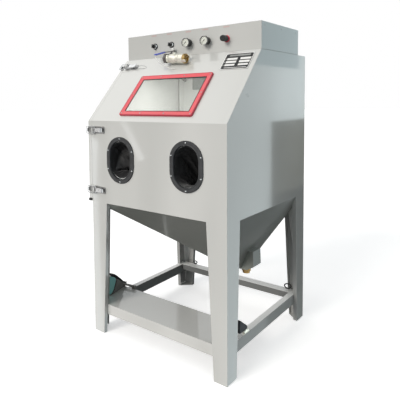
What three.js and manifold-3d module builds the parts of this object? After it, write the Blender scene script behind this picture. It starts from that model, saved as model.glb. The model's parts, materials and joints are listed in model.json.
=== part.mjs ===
// Sandblast cabinet: a welded sheet-metal work chamber on four folded legs, with a full-height
// side door, a hopper floor, a sloping window and a control header.
// Millimetres, +Z up. The model is built with x = 0 at the left side sheet, y = 0 at the front
// sheet and z = 0 on the floor, and is then centred over its own footprint.
import * as THREE from 'three';
import { mergeVertices } from 'three/addons/utils/BufferGeometryUtils.js';
import Module from 'manifold-3d';

const wasm = await Module();
wasm.setup();

// ---------------------------------------------------------------- driving dimensions
const WIDTH = 900;               // left side sheet to right side sheet
const DEPTH = 920;               // front sheet to rear sheet
const CHAMBER_BOTTOM = 775;      // bottom edge of the chamber's walls
const FOLD_HEIGHT = 1246;        // bend between the upright front and the slope
const CHAMBER_TOP = 1612;
const SLOPE_DEPTH = 342;         // how far back the slope's top edge lies
const HEADER_TOP = 1755;
const HEADER_BACK = 812;
const HEADER_LEFT = -12;
const SHEET = 2;                 // sheet thickness
const GAP = 0.3;                 // clearance between touching pieces
const LIP = 24;                  // return fold along each leg's free edge
const LEG_FRONT = { top: 115, foot: 75 };   // width of a leg's front flange
const LEG_SIDE = { top: 122, foot: 90 };    // width of a leg's side flange
const LEG_REAR = { top: 120, foot: 79 };    // width of a rear leg's rear flange
const RAIL_TOP = 167;            // top of the rails and of the foot shelf
const RAIL_HEIGHT = 60;
const RAIL_FLANGE = 35;
const RAIL_INSET = 5;            // left rail in from the outer face of the left legs
const RIGHT_RAIL_INSET = 20;     // right rail in from the outer face of the right legs
const RAIL_END = 893;            // rear end of the side rails
const REAR_RAIL = { depth: 64, height: 38 };
const SHELF_BACK = 284;
const DOOR_DEPTH = 25;           // depth of the door pan
const DOOR_GAP = 1;              // gap between the door pan and the door frame
const CENTRE = { x: 412.5, y: 474.5 };        // middle of the footprint, moved to the origin

// ---------------------------------------------------------------- finishes
const finish = (color, roughness, metalness) => (
  new THREE.MeshStandardMaterial({ color, roughness, metalness }));
const paint = finish(0xd3d6d2, 0.32, 0.1);
const innerPaint = finish(0xe4e6e2, 0.45, 0.05);
const redPaint = finish(0xd8343f, 0.4, 0.05);
const chrome = finish(0xd8dadc, 0.15, 1);
const steel = finish(0x8d9092, 0.35, 1);
const brass = finish(0xa98445, 0.35, 1);
const rubber = finish(0x1b1c1f, 0.8, 0);
const blackPlastic = finish(0x18191b, 0.45, 0);
const greyPlastic = finish(0x3e4043, 0.5, 0);
const bluePlastic = finish(0x5566cc, 0.4, 0);
const redPlastic = finish(0xd0284a, 0.4, 0);
const teal = finish(0x5e9696, 0.5, 0.1);
const glass = finish(0xc9d6d4, 0.05, 0);

// ---------------------------------------------------------------- solids and joins
const X = new THREE.Vector3(1, 0, 0);
const Y = new THREE.Vector3(0, 1, 0);
const Z = new THREE.Vector3(0, 0, 1);
const vec = (x, y, z) => new THREE.Vector3(x, y, z);

function solid(geometry) {
  const bare = geometry.clone();
  bare.deleteAttribute('normal');
  bare.deleteAttribute('uv');
  const merged = mergeVertices(bare, 1e-4);
  return new wasm.Manifold(new wasm.Mesh({
    numProp: 3,
    vertProperties: new Float32Array(merged.attributes.position.array),
    triVerts: new Uint32Array(merged.index.array),
  }));
}

function toGeometry(body) {
  const data = body.getMesh();
  const geometry = new THREE.BufferGeometry();
  geometry.setAttribute('position', new THREE.BufferAttribute(new Float32Array(data.vertProperties), 3));
  geometry.setIndex(new THREE.BufferAttribute(new Uint32Array(data.triVerts), 1));
  geometry.computeVertexNormals();
  return geometry;
}

const join = (...bodies) => bodies.reduce((a, b) => a.add(b));
const cut = (body, ...tools) => tools.reduce((a, b) => a.subtract(b), body);

// A frame to extrude in: across and up span the outline, and the outline is swept along across x up.
const frame = (origin, across, up) => {
  const along = new THREE.Vector3().crossVectors(across, up);
  return new THREE.Matrix4().makeBasis(across, up, along).setPosition(origin);
};
const OUTLINE_SEGMENTS = 6;

function prism(outline, length, matrix, holes = []) {
  const shape = outline instanceof THREE.Shape
    ? outline : new THREE.Shape(outline.map(([u, v]) => new THREE.Vector2(u, v)));
  shape.holes = holes;
  const geometry = new THREE.ExtrudeGeometry(shape, {
    depth: length, bevelEnabled: false, steps: 1, curveSegments: OUTLINE_SEGMENTS,
  });
  return solid(geometry.applyMatrix4(matrix));
}

// Outlines in the front plane (x, z), the side plane (y, z) and the floor plane (x, y).
const inFront = (outline, y, depth, holes) => (
  prism(outline, depth, frame(vec(0, y + depth, 0), X, Z), holes));
const inSide = (outline, x, width, holes) => prism(outline, width, frame(vec(x, 0, 0), Y, Z), holes);
const inPlan = (outline, z, height, holes) => prism(outline, height, frame(vec(0, 0, z), X, Y), holes);

function box(x0, x1, y0, y1, z0, z1) {
  const geometry = new THREE.BoxGeometry(x1 - x0, y1 - y0, z1 - z0);
  return solid(geometry.translate((x0 + x1) / 2, (y0 + y1) / 2, (z0 + z1) / 2));
}

function rod(from, to, radius, sides = 16, endRadius = radius) {
  const axis = new THREE.Vector3().subVectors(to, from);
  const geometry = new THREE.CylinderGeometry(endRadius, radius, axis.length(), sides);
  geometry.applyQuaternion(new THREE.Quaternion().setFromUnitVectors(Y, axis.clone().normalize()));
  const middle = new THREE.Vector3().addVectors(from, to).multiplyScalar(0.5);
  return solid(geometry.translate(middle.x, middle.y, middle.z));
}

// A turned piece: profile points are (radius, distance along the axis from the base).
function turned(profile, base, axis, sides = 20) {
  const geometry = new THREE.LatheGeometry(profile.map(([r, h]) => new THREE.Vector2(r, h)), sides);
  geometry.applyQuaternion(new THREE.Quaternion().setFromUnitVectors(Y, axis));
  return solid(geometry.translate(base.x, base.y, base.z));
}

const cabinet = new THREE.Group();

function piece(name, body, material, parent = cabinet) {
  const mesh = new THREE.Mesh(toGeometry(body), material.clone());
  mesh.name = name;
  parent.add(mesh);
  return mesh;
}

// ---------------------------------------------------------------- the slope's own directions
const SLOPE_LENGTH = Math.hypot(SLOPE_DEPTH, CHAMBER_TOP - FOLD_HEIGHT);
const SLOPE_UP = vec(0, SLOPE_DEPTH, CHAMBER_TOP - FOLD_HEIGHT).divideScalar(SLOPE_LENGTH);
const SLOPE_OUT = new THREE.Vector3().crossVectors(X, SLOPE_UP);
const HALF_BEND = Math.tan(Math.atan2(SLOPE_UP.y, SLOPE_UP.z) / 2);

// A point on the slope: x across, s up the slope from the bend, h out from its face.
const onSlope = (x, s, h) => (
  vec(x, 0, FOLD_HEIGHT).addScaledVector(SLOPE_UP, s).addScaledVector(SLOPE_OUT, h));
const inSlope = (outline, h, depth, holes) => (
  prism(outline, depth, frame(onSlope(0, 0, h), X, SLOPE_UP), holes));

// The chamber's side outline, moved in by a distance, as (y, z) points.
function sideOutline(inset, bottom = CHAMBER_BOTTOM + inset, top = CHAMBER_TOP - inset,
  back = DEPTH - inset) {
  const run = SLOPE_UP.y / SLOPE_UP.z;
  const slopeTop = SLOPE_DEPTH + inset / SLOPE_UP.z - (CHAMBER_TOP - top) * run;
  const bend = [inset, FOLD_HEIGHT - HALF_BEND * inset];
  return [[inset, bottom], bend, [slopeTop, top], [back, top], [back, bottom]];
}

const rectangle = (u0, u1, v0, v1) => [[u0, v0], [u1, v0], [u1, v1], [u0, v1]];

function roundedRectangle(u, v, width, height, radius) {
  const shape = new THREE.Shape();
  const [w, h] = [width / 2, height / 2];
  shape.moveTo(u - w + radius, v - h);
  shape.lineTo(u + w - radius, v - h);
  shape.absarc(u + w - radius, v - h + radius, radius, -Math.PI / 2, 0, false);
  shape.lineTo(u + w, v + h - radius);
  shape.absarc(u + w - radius, v + h - radius, radius, 0, Math.PI / 2, false);
  shape.lineTo(u - w + radius, v + h);
  shape.absarc(u - w + radius, v + h - radius, radius, Math.PI / 2, Math.PI, false);
  shape.lineTo(u - w, v - h + radius);
  shape.absarc(u - w + radius, v - h + radius, radius, Math.PI, Math.PI * 1.5, false);
  return shape;
}

// ---------------------------------------------------------------- hopper
const OUTLET = { x: 693, y: 460, z: 415, size: 90 };
const HOPPER_WALL = 3;

// A four-sided funnel between the chamber's bottom edge and the outlet; grow moves its faces out.
function funnel(grow, bottom = OUTLET.z, top = CHAMBER_BOTTOM - GAP) {
  const half = OUTLET.size / 2;
  const level = (z) => {
    const t = (z - OUTLET.z) / (CHAMBER_BOTTOM - OUTLET.z);
    const blend = (low, high) => low + (high - low) * t;
    return {
      x0: blend(OUTLET.x - half, SHEET + GAP) - grow,
      x1: blend(OUTLET.x + half, WIDTH - SHEET - GAP) + grow,
      y0: blend(OUTLET.y - half, SHEET + GAP) - grow,
      y1: blend(OUTLET.y + half, DEPTH - SHEET - GAP) + grow,
    };
  };
  const corners = [bottom, top].flatMap((z) => {
    const { x0, x1, y0, y1 } = level(z);
    return [x0, y0, z, x1, y0, z, x1, y1, z, x0, y1, z];
  });
  const faces = [0, 2, 1, 0, 3, 2, 4, 5, 6, 4, 6, 7, 0, 1, 5, 0, 5, 4, 1, 2, 6, 1, 6, 5,
    2, 3, 7, 2, 7, 6, 3, 0, 4, 3, 4, 7];
  const geometry = new THREE.BufferGeometry();
  geometry.setAttribute('position', new THREE.BufferAttribute(new Float32Array(corners), 3));
  geometry.setIndex(faces);
  return solid(geometry);
}

const hopperSpace = funnel(GAP, OUTLET.z - GAP, CHAMBER_BOTTOM);

function buildHopper() {
  const wall = cut(funnel(0), funnel(-HOPPER_WALL, OUTLET.z + HOPPER_WALL, CHAMBER_BOTTOM + 5));
  piece('hopper', wall, paint);

  const z0 = OUTLET.z;
  const profile = [[700, z0], [778, z0], [820, z0 + 25], [817, z0 + 110], [700, z0 + 110]];
  const pickup = inFront(profile, OUTLET.y - 45, 90);
  piece('media_pickup_box', cut(pickup, hopperSpace), paint);

  const drain = vec(753, OUTLET.y, z0 - GAP);
  const below = (distance) => vec(drain.x, drain.y, drain.z - distance);
  const hexagon = rod(drain, below(20), 25, 6);
  const tail = rod(below(18), below(30), 20, 16);
  piece('media_drain_plug', join(hexagon, tail), brass);
}

// ---------------------------------------------------------------- folded walls with their legs
// One leg flange and its return lip. The flange lies in a wall's plane, from the corner line at
// coordinate 0 to its free edge, and sign says which way that edge lies.
function legFlange(width, corner, sign) {
  const edge = (w) => corner + sign * w;
  return {
    flange: [[corner, 0], [edge(width.foot), 0], [edge(width.top), CHAMBER_BOTTOM + SHEET],
      [corner, CHAMBER_BOTTOM + SHEET]],
    lip: [[edge(width.foot - SHEET), 0], [edge(width.foot), 0], [edge(width.top), CHAMBER_BOTTOM],
      [edge(width.top - SHEET), CHAMBER_BOTTOM]],
  };
}

const orient = (outline) => (THREE.ShapeUtils.isClockWise(outline.map(([u, v]) => new THREE.Vector2(u, v)))
  ? outline.slice().reverse() : outline);

const PORT = { spacing: 444, z: 1031, width: 200, height: 258, band: 25, depth: 7 };
const portCentres = [['left', (WIDTH - PORT.spacing) / 2], ['right', (WIDTH + PORT.spacing) / 2]];
const portOpening = (x, inset) => roundedRectangle(
  x, PORT.z, PORT.width - 2 * inset, PORT.height - 2 * inset, PORT.width / 2 - inset);

const WINDOW = { x: 445, s: 189.5, width: 490, height: 301, band: 30, depth: 8, radius: 12, glass: 5 };
const windowShape = (inset, radius = WINDOW.radius) => roundedRectangle(
  WINDOW.x, WINDOW.s, WINDOW.width - 2 * inset, WINDOW.height - 2 * inset, radius);

function buildFront() {
  const upright = inFront(rectangle(0, WIDTH, CHAMBER_BOTTOM, FOLD_HEIGHT), 0, SHEET);
  const bend = inSide([[0, FOLD_HEIGHT - 20], [0, FOLD_HEIGHT], [SLOPE_DEPTH, CHAMBER_TOP],
    [SLOPE_DEPTH + SHEET / SLOPE_UP.z, CHAMBER_TOP], [SHEET, FOLD_HEIGHT - HALF_BEND * SHEET],
    [SHEET, FOLD_HEIGHT - 20]].reverse(), 0, WIDTH);
  const hem = box(LEG_FRONT.top, WIDTH - LEG_FRONT.top, 0, 18, CHAMBER_BOTTOM, CHAMBER_BOTTOM + SHEET);
  let sheet = join(upright, bend, hem);
  for (const [corner, sign] of [[0, 1], [WIDTH, -1]]) {
    const { flange, lip } = legFlange(LEG_FRONT, corner, sign);
    const foot = orient([[corner, 0], [corner + sign * LEG_FRONT.foot, 0],
      [corner + sign * LEG_FRONT.foot, LIP], [corner + sign * (SHEET + GAP), LEG_SIDE.foot - 2],
      [corner + sign * (SHEET + GAP), SHEET], [corner, SHEET]]);
    sheet = join(sheet, inFront(orient(flange), 0, SHEET), cut(inFront(orient(lip), 0, LIP), hopperSpace),
      inPlan(foot, 0, 3));
  }
  for (const [, x] of portCentres) {
    sheet = cut(sheet, inFront(portOpening(x, PORT.band - 8), -5, 20));
  }
  sheet = cut(sheet, inSlope(windowShape(WINDOW.band - 8, 6), -12, 24));
  piece('front_panel', sheet, paint);
}

// The space a side rail takes out of a rear leg's return lip.
function railNotch(isLeft) {
  const x0 = isLeft ? RAIL_INSET - GAP : WIDTH - RIGHT_RAIL_INSET - RAIL_FLANGE - GAP;
  const low = RAIL_TOP - RAIL_HEIGHT - GAP;
  return box(x0, x0 + RAIL_FLANGE + 2 * GAP, SHELF_BACK, RAIL_END + GAP, low, RAIL_TOP + GAP);
}

function sideSheet(x, inward) {
  const inset = SHEET + GAP;
  const outline = sideOutline(inset, CHAMBER_BOTTOM, CHAMBER_TOP);
  let sheet = inSide(outline.reverse(), x, SHEET);
  const lipX = inward > 0 ? x : x + SHEET - LIP;
  for (const [corner, sign] of [[inset, 1], [DEPTH - inset, -1]]) {
    const width = { top: LEG_SIDE.top - inset, foot: LEG_SIDE.foot - inset };
    const { flange, lip } = legFlange(width, corner, sign);
    const raised = lip.map(([y, z]) => [y, Math.max(z, 3 + GAP)]);
    const legPlate = flange.map(([y, z]) => [y, Math.max(z, 3 + GAP)]);
    const fold = cut(inSide(orient(raised), lipX, LIP), hopperSpace, railNotch(inward > 0));
    sheet = join(sheet, inSide(orient(legPlate), x, SHEET), fold);
  }
  return sheet;
}

const DOORWAY_INSET = 55;

function buildSides() {
  piece('right_panel', sideSheet(WIDTH - SHEET, -1), paint);
  const doorway = inSide(sideOutline(DOORWAY_INSET).reverse(), -5, 20);
  piece('left_door_frame', cut(sideSheet(0, 1), doorway), paint);
}

const DUST_OUTLET = { x: 450, z: 1420, radius: 60, wall: 3, length: 50, flange: 86 };

function buildRearAndTop() {
  const y = DEPTH - SHEET;
  let sheet = inFront(rectangle(0, WIDTH, CHAMBER_BOTTOM, CHAMBER_TOP), y, SHEET);
  for (const [corner, sign] of [[0, 1], [WIDTH, -1]]) {
    const { flange, lip } = legFlange(LEG_REAR, corner, sign);
    const foot = orient([[corner, DEPTH], [corner + sign * LEG_REAR.foot, DEPTH],
      [corner + sign * LEG_REAR.foot, DEPTH - LIP],
      [corner + sign * (SHEET + GAP), DEPTH - LEG_SIDE.foot + 2],
      [corner + sign * (SHEET + GAP), DEPTH - SHEET], [corner, DEPTH - SHEET]]);
    sheet = join(sheet, inFront(orient(flange), y, SHEET),
      cut(inFront(orient(lip), DEPTH - LIP, LIP), hopperSpace), inPlan(foot, 0, 3));
  }
  const { x, z, radius, wall, length, flange } = DUST_OUTLET;
  const reach = radius - wall;
  const hole = box(x - reach, x + reach, y - 5, DEPTH + 5, z - reach, z + reach);
  piece('rear_panel', cut(sheet, hole), paint);

  const start = vec(x, DEPTH + GAP, z);
  const bore = rod(vec(x, DEPTH - 5, z), vec(x, DEPTH + length + 5, z), reach, 24);
  const collar = join(rod(start, vec(x, DEPTH + 3, z), flange, 24),
    rod(start, vec(x, DEPTH + length, z), radius, 24));
  piece('dust_outlet_collar', cut(collar, bore), paint);

  const inset = SHEET + GAP;
  const front = SLOPE_DEPTH + SHEET / SLOPE_UP.z + GAP;
  const top = box(inset, WIDTH - inset, front, DEPTH - inset, CHAMBER_TOP - SHEET, CHAMBER_TOP);
  piece('top_panel', top, paint);
}

// ---------------------------------------------------------------- header
function buildHeader() {
  const z0 = CHAMBER_TOP + GAP;
  const face = box(HEADER_LEFT, WIDTH, SLOPE_DEPTH, SLOPE_DEPTH + SHEET, z0, HEADER_TOP);
  const fold = box(HEADER_LEFT, WIDTH, SLOPE_DEPTH, SLOPE_DEPTH + 18, z0, z0 + SHEET);
  piece('control_panel', join(face, fold), paint);

  const y0 = SLOPE_DEPTH + SHEET + GAP;
  const shell = box(HEADER_LEFT, WIDTH, y0, HEADER_BACK, z0 + SHEET + GAP, HEADER_TOP);
  const inside = box(HEADER_LEFT + SHEET, WIDTH - SHEET, y0 - 5, HEADER_BACK - SHEET,
    z0 - 10, HEADER_TOP - SHEET);
  piece('header_cover', cut(shell, inside), paint);

  const lamp = { x0: 250, x1: 650, y0: 430, y1: 530, depth: 46 };
  const top = CHAMBER_TOP - SHEET - GAP;
  piece('lamp_housing', box(lamp.x0, lamp.x1, lamp.y0, lamp.y1, top - lamp.depth, top), innerPaint);
}

// ---------------------------------------------------------------- under-frame
const RAIL_SHEET = 3;

// An inverted channel: a flat top with a web hanging from each long edge.
function channel(x0, x1, y0, y1, height, alongX) {
  const low = RAIL_TOP - height;
  const outer = box(x0, x1, y0, y1, low, RAIL_TOP);
  const t = RAIL_SHEET;
  const roof = RAIL_TOP - t;
  const hollow = alongX ? box(x0 - 5, x1 + 5, y0 + t, y1 - t, low - 5, roof)
    : box(x0 + t, x1 - t, y0 - 5, y1 + 5, low - 5, roof);
  return cut(outer, hollow);
}

function buildUnderframe() {
  const inset = SHEET + GAP;
  const y0 = SHELF_BACK + GAP;
  const shelfFront = LIP + GAP;
  const left = RAIL_INSET + RAIL_FLANGE;
  const right = WIDTH - RIGHT_RAIL_INSET - RAIL_FLANGE;
  const legLip = (x) => box(x - LIP - 2, x + LIP + 2, 90, 99, 0, RAIL_TOP + 50);
  piece('left_rail', channel(RAIL_INSET, left, y0, RAIL_END, RAIL_HEIGHT, false), paint);
  const rightRail = channel(right, right + RAIL_FLANGE, shelfFront, RAIL_END, RAIL_HEIGHT, false);
  piece('right_rail', cut(rightRail, legLip(WIDTH)), paint);
  piece('rear_rail', channel(left + GAP, right - GAP, RAIL_END - REAR_RAIL.depth, RAIL_END,
    REAR_RAIL.height, true), paint);

  const low = RAIL_TOP - RAIL_HEIGHT;
  const tray = cut(box(inset, right - GAP, shelfFront, SHELF_BACK, low, RAIL_TOP),
    box(-5, WIDTH, shelfFront + RAIL_SHEET, SHELF_BACK - RAIL_SHEET, low - 5, RAIL_TOP - RAIL_SHEET));
  piece('foot_shelf', cut(tray, legLip(0)), paint);
}

// ---------------------------------------------------------------- window and glove ports
function buildWindow() {
  const opening = windowShape(WINDOW.band, 4);
  const ring = inSlope(windowShape(0), GAP, WINDOW.depth, [opening]);
  const rebate = inSlope(windowShape(WINDOW.band - 10, 4), GAP - 1, 1 + WINDOW.glass + 2 * GAP);
  piece('window_frame', cut(ring, rebate), redPaint);
  const pane = inSlope(windowShape(WINDOW.band - 10 + GAP, 4), GAP, WINDOW.glass);
  piece('window_glass', pane, glass);
}

// A stadium ring of points at one station of a sleeve, lying across the sleeve's local depth.
function sleeveRing(station, thickness, count) {
  const points = [];
  const width = station.width / 2 - thickness;
  const height = station.height / 2 - thickness;
  for (let i = 0; i < count; i += 1) {
    const a = (i / count) * Math.PI * 2;
    const straight = Math.max(height - width, 0);
    const rise = Math.sin(a) * width + Math.sign(Math.sin(a)) * straight;
    points.push([Math.cos(a) * width, station.y, station.drop + rise]);
  }
  return points;
}

function sleeve(x) {
  const COUNT = 16;
  const WALL = 6;
  const stations = [
    { y: SHEET + 14, width: 150, height: 206, drop: 0 },
    { y: 90, width: 140, height: 180, drop: -14 },
    { y: 170, width: 118, height: 138, drop: -44 },
    { y: 240, width: 96, height: 104, drop: -84 },
    { y: 300, width: 100, height: 70, drop: -122 },
  ];
  const outer = stations.map((s) => sleeveRing(s, 0, COUNT));
  const inner = stations.slice(0, -1).map((s) => sleeveRing(s, WALL, COUNT)).reverse();
  const loops = [...outer, ...inner];
  const position = loops.flat().flatMap(([px, py, pz]) => [px + x, py, pz + PORT.z]);
  const index = [];
  for (let k = 0; k < loops.length; k += 1) {
    const next = (k + 1) % loops.length;
    if (k === outer.length - 1) continue;
    for (let i = 0; i < COUNT; i += 1) {
      const j = (i + 1) % COUNT;
      const [a, b, c, d] = [k * COUNT + i, k * COUNT + j, next * COUNT + j, next * COUNT + i];
      index.push(a, c, b, a, d, c);
    }
  }
  const cap = (ring, flip) => {
    for (let i = 1; i < COUNT - 1; i += 1) {
      index.push(ring * COUNT, ring * COUNT + (flip ? i + 1 : i), ring * COUNT + (flip ? i : i + 1));
    }
  };
  cap(outer.length - 1, true);
  cap(outer.length, false);
  const geometry = new THREE.BufferGeometry();
  geometry.setAttribute('position', new THREE.BufferAttribute(new Float32Array(position), 3));
  geometry.setIndex(index);
  return solid(geometry);
}

function buildGlovePorts() {
  for (const [side, x] of portCentres) {
    const ring = inFront(portOpening(x, 0), -PORT.depth - GAP, PORT.depth, [portOpening(x, PORT.band)]);
    piece(`glove_ring_${side}`, ring, greyPlastic);
    piece(`glove_sleeve_${side}`, sleeve(x), rubber);
  }
}

// ---------------------------------------------------------------- controls on the header
const CONTROL_Z = 1681;
const CONTROL_SPACING = 123;
const controlX = (place) => 208 + place * CONTROL_SPACING;
const panelFace = (x) => vec(x, SLOPE_DEPTH - GAP, CONTROL_Z);
const OUT = vec(0, -1, 0);

function buildControls() {
  for (const [place, name] of [[0, 'light'], [1, 'blower']]) {
    const base = panelFace(controlX(place));
    const bezel = turned([[0, 0], [15, 0], [15, 5], [12.5, 8], [12.5, 12], [0, 12]], base, OUT);
    piece(`${name}_switch_bezel`, bezel, chrome);
    const cap = turned([[0, 12 + GAP], [11, 12 + GAP], [11, 20], [10, 22], [0, 22]], base, OUT, 16);
    const grip = box(base.x - 4, base.x + 4, base.y - 34, base.y - 20, base.z - 10.5, base.z + 10.5);
    piece(`${name}_switch_knob`, join(cap, grip), blackPlastic);
  }
  for (const [place, name] of [[2, 'supply'], [3, 'blast']]) {
    const base = panelFace(controlX(place));
    const profile = [[0, 0], [22, 0], [22, 26], [26, 28], [26, 40], [23, 40], [23, 34], [0, 34]];
    piece(`${name}_gauge_case`, turned(profile, base, OUT, 24), blackPlastic);
    const zero = THREE.MathUtils.degToRad(45);
    const left = vec(-Math.cos(zero), 0, Math.sin(zero));
    const toZero = vec(-Math.sin(zero), 0, -Math.cos(zero));
    const pointer = orient([[-1.4, -6], [1.4, -6], [0.5, 18], [-0.5, 18]]);
    const dial = prism(pointer, 1.2, frame(vec(base.x, base.y - 35.6, base.z), left, toZero));
    const hub = rod(vec(base.x, base.y - 35.2, base.z), vec(base.x, base.y - 37.6, base.z), 2.6, 10);
    piece(`${name}_gauge_needle`, join(dial, hub), blackPlastic);
  }
  const base = panelFace(controlX(4));
  const lockRing = turned([[9, 0], [19, 0], [19, 5], [17, 7], [9, 7], [9, 0]], base, OUT);
  piece('regulator_lock_ring', lockRing, redPlastic);
  const profile = [[0, 2], [8.5, 2], [8.5, 7 + GAP], [15, 7 + GAP], [16.5, 12], [16.5, 46], [14, 50],
    [0, 50]];
  piece('regulator_knob', turned(profile, base, OUT, 20), blackPlastic);

  piece('rating_plate', inSlope(roundedRectangle(792, 421, 165, 121, 6), GAP, 1.2), blackPlastic);
}

// ---------------------------------------------------------------- air inlet valve
// Built along its own axis: x runs through the bore, z up the stem. It hangs a few degrees nose down.
const VALVE = { x: 337, y: 275, z: 1597, droop: 0.067, stem: 62, stemHeight: 35 };

function buildInletValve() {
  const local = new THREE.Group();
  local.position.set(VALVE.x, VALVE.y, VALVE.z);
  local.rotation.y = VALVE.droop;
  cabinet.add(local);
  const at = (x, z = 0) => vec(x, 0, z);

  const nut = rod(at(-2), at(16), 30, 6);
  const riser = rod(at(6), vec(6, SLOPE_DEPTH + 14 - VALVE.y, 38), 14, 12);
  const behindPanel = box(-60, 60, SLOPE_DEPTH - GAP - VALVE.y, SLOPE_DEPTH + 60 - VALVE.y, 0, 90);
  const frontHalf = box(16, 60, -50, 90, -50, 90);
  piece('inlet_elbow', cut(join(nut, cut(riser, frontHalf)), behindPanel), steel, local);

  const barrel = join(rod(at(16 + GAP), at(34), 23, 16), rod(at(34), at(98), 27, 16));
  const gland = rod(at(VALVE.stem), at(VALVE.stem, VALVE.stemHeight), 9, 12);
  piece('inlet_valve_body', join(barrel, gland), steel, local);

  const union = join(rod(at(98 + GAP), at(110), 24, 16), rod(at(108), at(154), 28, 8));
  piece('inlet_hose_union', cut(union, rod(at(120), at(200), 21, 16)), brass, local);

  const x = VALVE.stem;
  const top = VALVE.stemHeight + GAP;
  const strap = prism(orient([[x + 11, top], [x + 11, top + 3], [x - 12, top + 6], [x - 66, top],
    [x - 66, top - 3], [x - 12, top + 3], [x - 10, top]]), 16, frame(vec(0, 8, 0), X, Z));
  const cap = rod(at(x, top), at(x, top + 12), 7, 6);
  const gripOutline = [[x - 64, top + 2], [x - 64, top - 6], [x - 140, top - 18], [x - 142, top - 10]];
  const grip = prism(orient(gripOutline), 20, frame(vec(0, 10, 0), X, Z));
  piece('inlet_valve_lever', join(strap, cap, grip), bluePlastic, local);
}

// ---------------------------------------------------------------- side door and its hinges
const doorOuter = -DOOR_GAP - DOOR_DEPTH;
const HINGE = { x: -13, y: 930, radius: 7, pin: 3, half: 45 };
const hingeHeights = [['upper', 1450], ['lower', 930]];

function buildDoor() {
  const outline = sideOutline(0, CHAMBER_BOTTOM + 2, CHAMBER_TOP - 2, DEPTH - 2);
  const inside = sideOutline(SHEET, CHAMBER_BOTTOM + 4, CHAMBER_TOP - 4, DEPTH - 4);
  const pan = inSide(outline.reverse(), doorOuter, DOOR_DEPTH);
  const hollow = inSide(inside.reverse(), doorOuter + SHEET, DOOR_DEPTH + 5);
  piece('side_door', cut(pan, hollow), paint);

  const sealDepth = DOOR_DEPTH - SHEET + DOOR_GAP - 2 * GAP;
  const seal = cut(inSide(sideOutline(22).reverse(), doorOuter + SHEET + GAP, sealDepth),
    inSide(sideOutline(40).reverse(), doorOuter - 5, 60));
  piece('door_seal', seal, rubber);

  for (const [place, z] of hingeHeights) {
    const low = z - HINGE.half;
    const high = z + HINGE.half;
    const centre = (height) => vec(HINGE.x, HINGE.y, height);
    const fixed = join(
      box(HINGE.x + 9, 40, DEPTH + GAP, DEPTH + 3, low, high),
      box(HINGE.x, HINGE.x + 10, DEPTH + GAP, DEPTH + 4, low, z - GAP),
      rod(centre(low), centre(z - GAP), HINGE.radius, 12),
      rod(centre(z - 10), centre(high - 4), HINGE.pin, 10));
    piece(`hinge_${place}_fixed_leaf`, fixed, steel);
    const leafX = doorOuter - GAP - 3;
    const moving = join(
      box(leafX, doorOuter - GAP, 868, HINGE.y - 6, low, high),
      box(leafX, doorOuter - GAP, HINGE.y - 8, HINGE.y + 3, z + GAP, high),
      box(leafX, HINGE.x, HINGE.y - 3, HINGE.y + 3, z + GAP, high),
      rod(centre(z + GAP), centre(high), HINGE.radius, 12));
    const bore = rod(centre(z - 5), centre(high - 4 + GAP), HINGE.pin + GAP, 10);
    piece(`hinge_${place}_door_leaf`, cut(moving, bore), steel);
  }
}

// ---------------------------------------------------------------- toggle latches
// Built around the lever's pivot: u runs towards the door, v across the latch, w out from the sheet.
const LATCH = { pivotX: 25, pivotHeight: 13, reach: 52, throw: 13 };

function buildLatch(name, origin, out) {
  const local = new THREE.Group();
  const u = vec(-1, 0, 0);
  const across = new THREE.Vector3().crossVectors(out, u);
  local.matrixAutoUpdate = false;
  local.matrix.copy(new THREE.Matrix4().makeBasis(u, across, out).setPosition(origin));
  cabinet.add(local);
  const w = LATCH.pivotHeight;
  const barAcross = (uu, ww, half, radius, sides = 10) => (
    rod(vec(uu, -half, ww), vec(uu, half, ww), radius, sides));
  const sideProfile = (outline, v0, v1) => (
    prism(orient(outline), v1 - v0, frame(vec(0, v1, 0), X, Z)));

  const cheek = [[-7, 2], [7, 2], [6, w + 4], [3, w + 7], [-3, w + 7], [-6, w + 4]];
  const plate = inPlan(roundedRectangle(-35, 0, 98, 40, 6), GAP, 2);
  const base = join(plate, sideProfile(cheek, 14, 16.5), sideProfile(cheek, -16.5, -14),
    barAcross(0, w, 16, 2.2));
  piece(`latch_${name}_base`, base, chrome, local);

  const arm = [[6, w - 4], [6, w + 4], [-8, w + 5], [-60, w + 3], [-78, w + 8], [-79, w + 5], [-62, w - 1],
    [-16, w - 5], [-8, w - 5]];
  const holes = [barAcross(0, w, 20, 2.2 + GAP), barAcross(-LATCH.throw, w, 20, 2 + GAP)];
  piece(`latch_${name}_lever`, cut(sideProfile(arm, -12, 12), ...holes), chrome, local);

  const wire = 2;
  const sideV = 20;
  const crossbar = LATCH.reach;
  const bail = join(
    rod(vec(-LATCH.throw, sideV, w), vec(crossbar, sideV, w), wire, 8),
    rod(vec(-LATCH.throw, -sideV, w), vec(crossbar, -sideV, w), wire, 8),
    barAcross(crossbar, w, sideV, wire, 8),
    rod(vec(-LATCH.throw, sideV, w), vec(-LATCH.throw, 8, w), wire - GAP, 8),
    rod(vec(-LATCH.throw, -sideV, w), vec(-LATCH.throw, -8, w), wire - GAP, 8));
  piece(`latch_${name}_bail`, bail, chrome, local);

  const hook = crossbar - wire - GAP;
  const hookTop = w - wire - GAP;
  const keeper = join(
    inPlan(roundedRectangle(39.5, 0, 22, 34, 3), GAP, 2),
    sideProfile([[hook - 3, 1], [hook, 1], [hook, hookTop], [hook - 3, hookTop]], -11, 11));
  piece(`latch_${name}_keeper`, keeper, chrome, local);
}

function buildLatches() {
  buildLatch('upper', onSlope(LATCH.pivotX, 430, 0), SLOPE_OUT);
  buildLatch('middle', vec(LATCH.pivotX, 0, 1194), OUT);
  buildLatch('lower', vec(LATCH.pivotX, 0, 848), OUT);
}

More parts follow.
